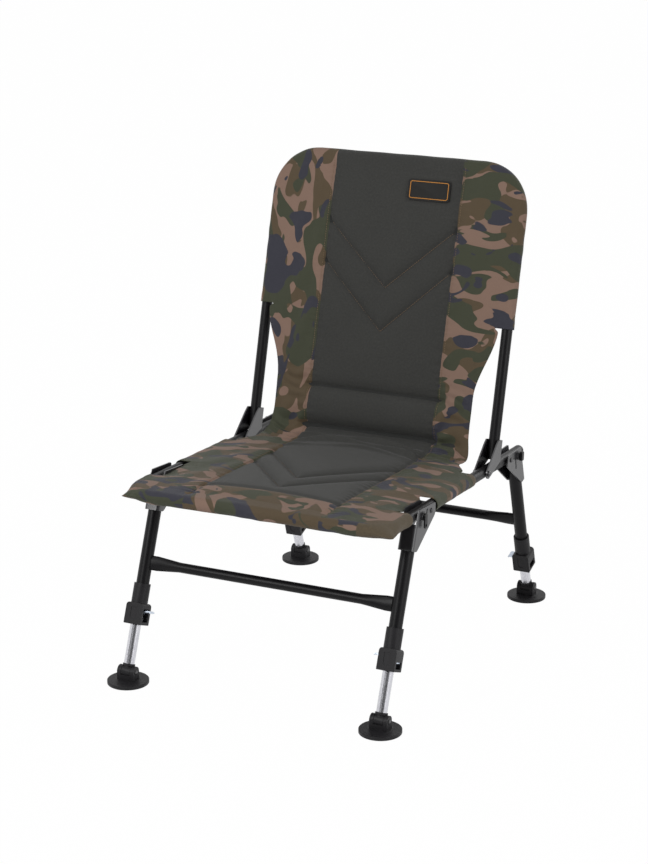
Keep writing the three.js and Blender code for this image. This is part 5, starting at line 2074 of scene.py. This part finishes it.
@dataclass
class Studio:
    """The camera, the lamps and the white floor."""

    camera_place: tuple[float, float, float] = (1.573, -3.355776, 1.515)
    yaw: float = -0.4443
    pitch: float = -0.2982
    lens: float = 95.0
    sensor: float = 36.0
    world_light: float = 0.5
    floor_size: float = 24.0
    flag_place: tuple[float, float, float] = (0.5, -5.2, 2.0)
    flag_size: tuple[float, float] = (11, 4.4)
    aim: tuple[float, float, float] = (0, 0, 0.38)

    def build(self) -> None:
        """Builds all of it."""
        self.build_camera()
        self.build_world()
        self.build_floor()
        self.build_flag()
        self.lamp("key", (-1.3, -3.2, 2.2), (1.0, 0.8), 66)
        self.lamp("side", (3.0, -0.7, 1.3), (0.8, 1.4), 26)
        self.lamp("back", (1.0, 2.8, 1.4), (1.4, 1.2), 14)
        bpy.context.scene.view_settings.view_transform = "Standard"

    def place(self, name: str, data: bpy.types.ID, where: Sequence[float], facing: Vector) -> Piece:
        """Places the camera or a lamp.

        Args:
            name: Its name.
            data: The camera's or the lamp's data.
            where: Where it stands.
            facing: The direction in which it looks.

        Returns:
            The new object.
        """
        made = bpy.data.objects.new(name, data)
        made.location = where
        made.rotation_mode = "QUATERNION"
        made.rotation_quaternion = facing.to_track_quat("-Z", "Y")
        bpy.context.scene.collection.objects.link(made)
        return made

    def build_camera(self) -> None:
        """Places the camera where the photograph was taken from."""
        data = bpy.data.cameras.new("camera")
        data.lens = self.lens
        data.sensor_width = self.sensor
        level = math.cos(self.pitch)
        facing = Vector((math.sin(self.yaw) * level, math.cos(self.yaw) * level, math.sin(self.pitch)))
        bpy.context.scene.camera = self.place("camera", data, self.camera_place, facing)

    def lamp(
        self, name: str, where: tuple[float, float, float], size: tuple[float, float], power: float
    ) -> None:
        """Adds a soft lamp that faces the chair.

        Args:
            name: Its name.
            where: Where it stands.
            size: Its width and height.
            power: Its power in watts.
        """
        data = bpy.data.lights.new(name, "AREA")
        data.shape = "RECTANGLE"
        data.size, data.size_y = size
        data.energy = power
        self.place(name, data, where, Vector(self.aim) - Vector(where))

    def seen(self, graph: Graph) -> Value:
        """Gives 1 for rays from the camera, a mirror or glass, and 0 for others.

        Args:
            graph: The graph to draw in.

        Returns:
            The value.
        """
        path = graph.node("ShaderNodeLightPath")
        kinds = ("Is Camera Ray", "Is Glossy Ray", "Is Transmission Ray")
        direct, mirrored, through = (Value(graph, path.outputs[kind]) for kind in kinds)
        return direct.most(mirrored).most(through)

    def build_world(self) -> None:
        """Makes the surroundings white to look at and softer as a light."""
        world = bpy.data.worlds.new("studio")
        bpy.context.scene.world = world
        graph = Graph(world, "ShaderNodeOutputWorld")
        strength = self.seen(graph) * (1 - self.world_light) + self.world_light
        graph.end(graph.node("ShaderNodeBackground", values={"Color": (1, 1, 1, 1), "Strength": strength}))

    def build_flag(self) -> None:
        """Hangs a black cloth behind the camera, the dark side of the room, which only mirrored rays see."""
        upright = (math.pi / 2, 0, 0)
        flag = primitive(
            "flag", bpy.ops.mesh.primitive_plane_add, size=1, location=self.flag_place, rotation=upright
        )
        bpy.ops.transform.resize(value=(self.flag_size[0], 1, self.flag_size[1]))
        apply_place()
        graph = Graph.of_material("flag")
        cloth = graph.node("ShaderNodeBsdfDiffuse", values={"Color": linear(12, 12, 12)})
        clear = graph.node("ShaderNodeBsdfTransparent")
        mirrored = Value(graph, graph.node("ShaderNodeLightPath").outputs["Is Glossy Ray"])
        values = {0: mirrored, 1: clear.outputs[0], 2: cloth.outputs[0]}
        graph.end(graph.node("ShaderNodeMixShader", values=values))
        flag.data.materials.append(graph.owner)

    def build_floor(self) -> None:
        """Makes a white floor that keeps a faint shadow."""
        floor = primitive("floor", bpy.ops.mesh.primitive_plane_add, size=self.floor_size)
        graph = Graph.of_material("floor")
        plain = graph.node("ShaderNodeBsdfDiffuse", values={"Color": linear(225, 225, 226)})
        bright = graph.node("ShaderNodeEmission", values={"Color": (1, 1, 1, 1), "Strength": 1.0})
        values = {0: self.seen(graph) * 0.99, 1: plain.outputs[0], 2: bright.outputs[0]}
        graph.end(graph.node("ShaderNodeMixShader", values=values))
        floor.data.materials.append(graph.owner)


def main() -> None:
    """Builds the chair's finish piece by piece."""
    logging.basicConfig(level=logging.INFO)
    Studio().build()
    paints = Paintbox()
    FrameWork(frame["nodes"], paints).dress()
    space = SeatSpace.from_joints(frame["joints"])
    badge = BadgePlace.from_node(frame["nodes"]["badge_patch"], space)
    cover = Cover(CoverShape(space, CoverSizes()), paints, badge)
    for piece in (cover.build(), cover.build_lining(), cover.build_thread()):
        cover.bend(piece)
        LOG.info("%s has %d faces", piece.name, len(piece.data.polygons))
    Badge(badge, space, paints).build()
    tread = FootTread(paints)
    for joint in frame["joints"]:
        if joint["name"].endswith("_foot_swivel"):
            tread.build(joint["child"], Vector(joint["pos_m"]))


if __name__ == "__main__":
    main()
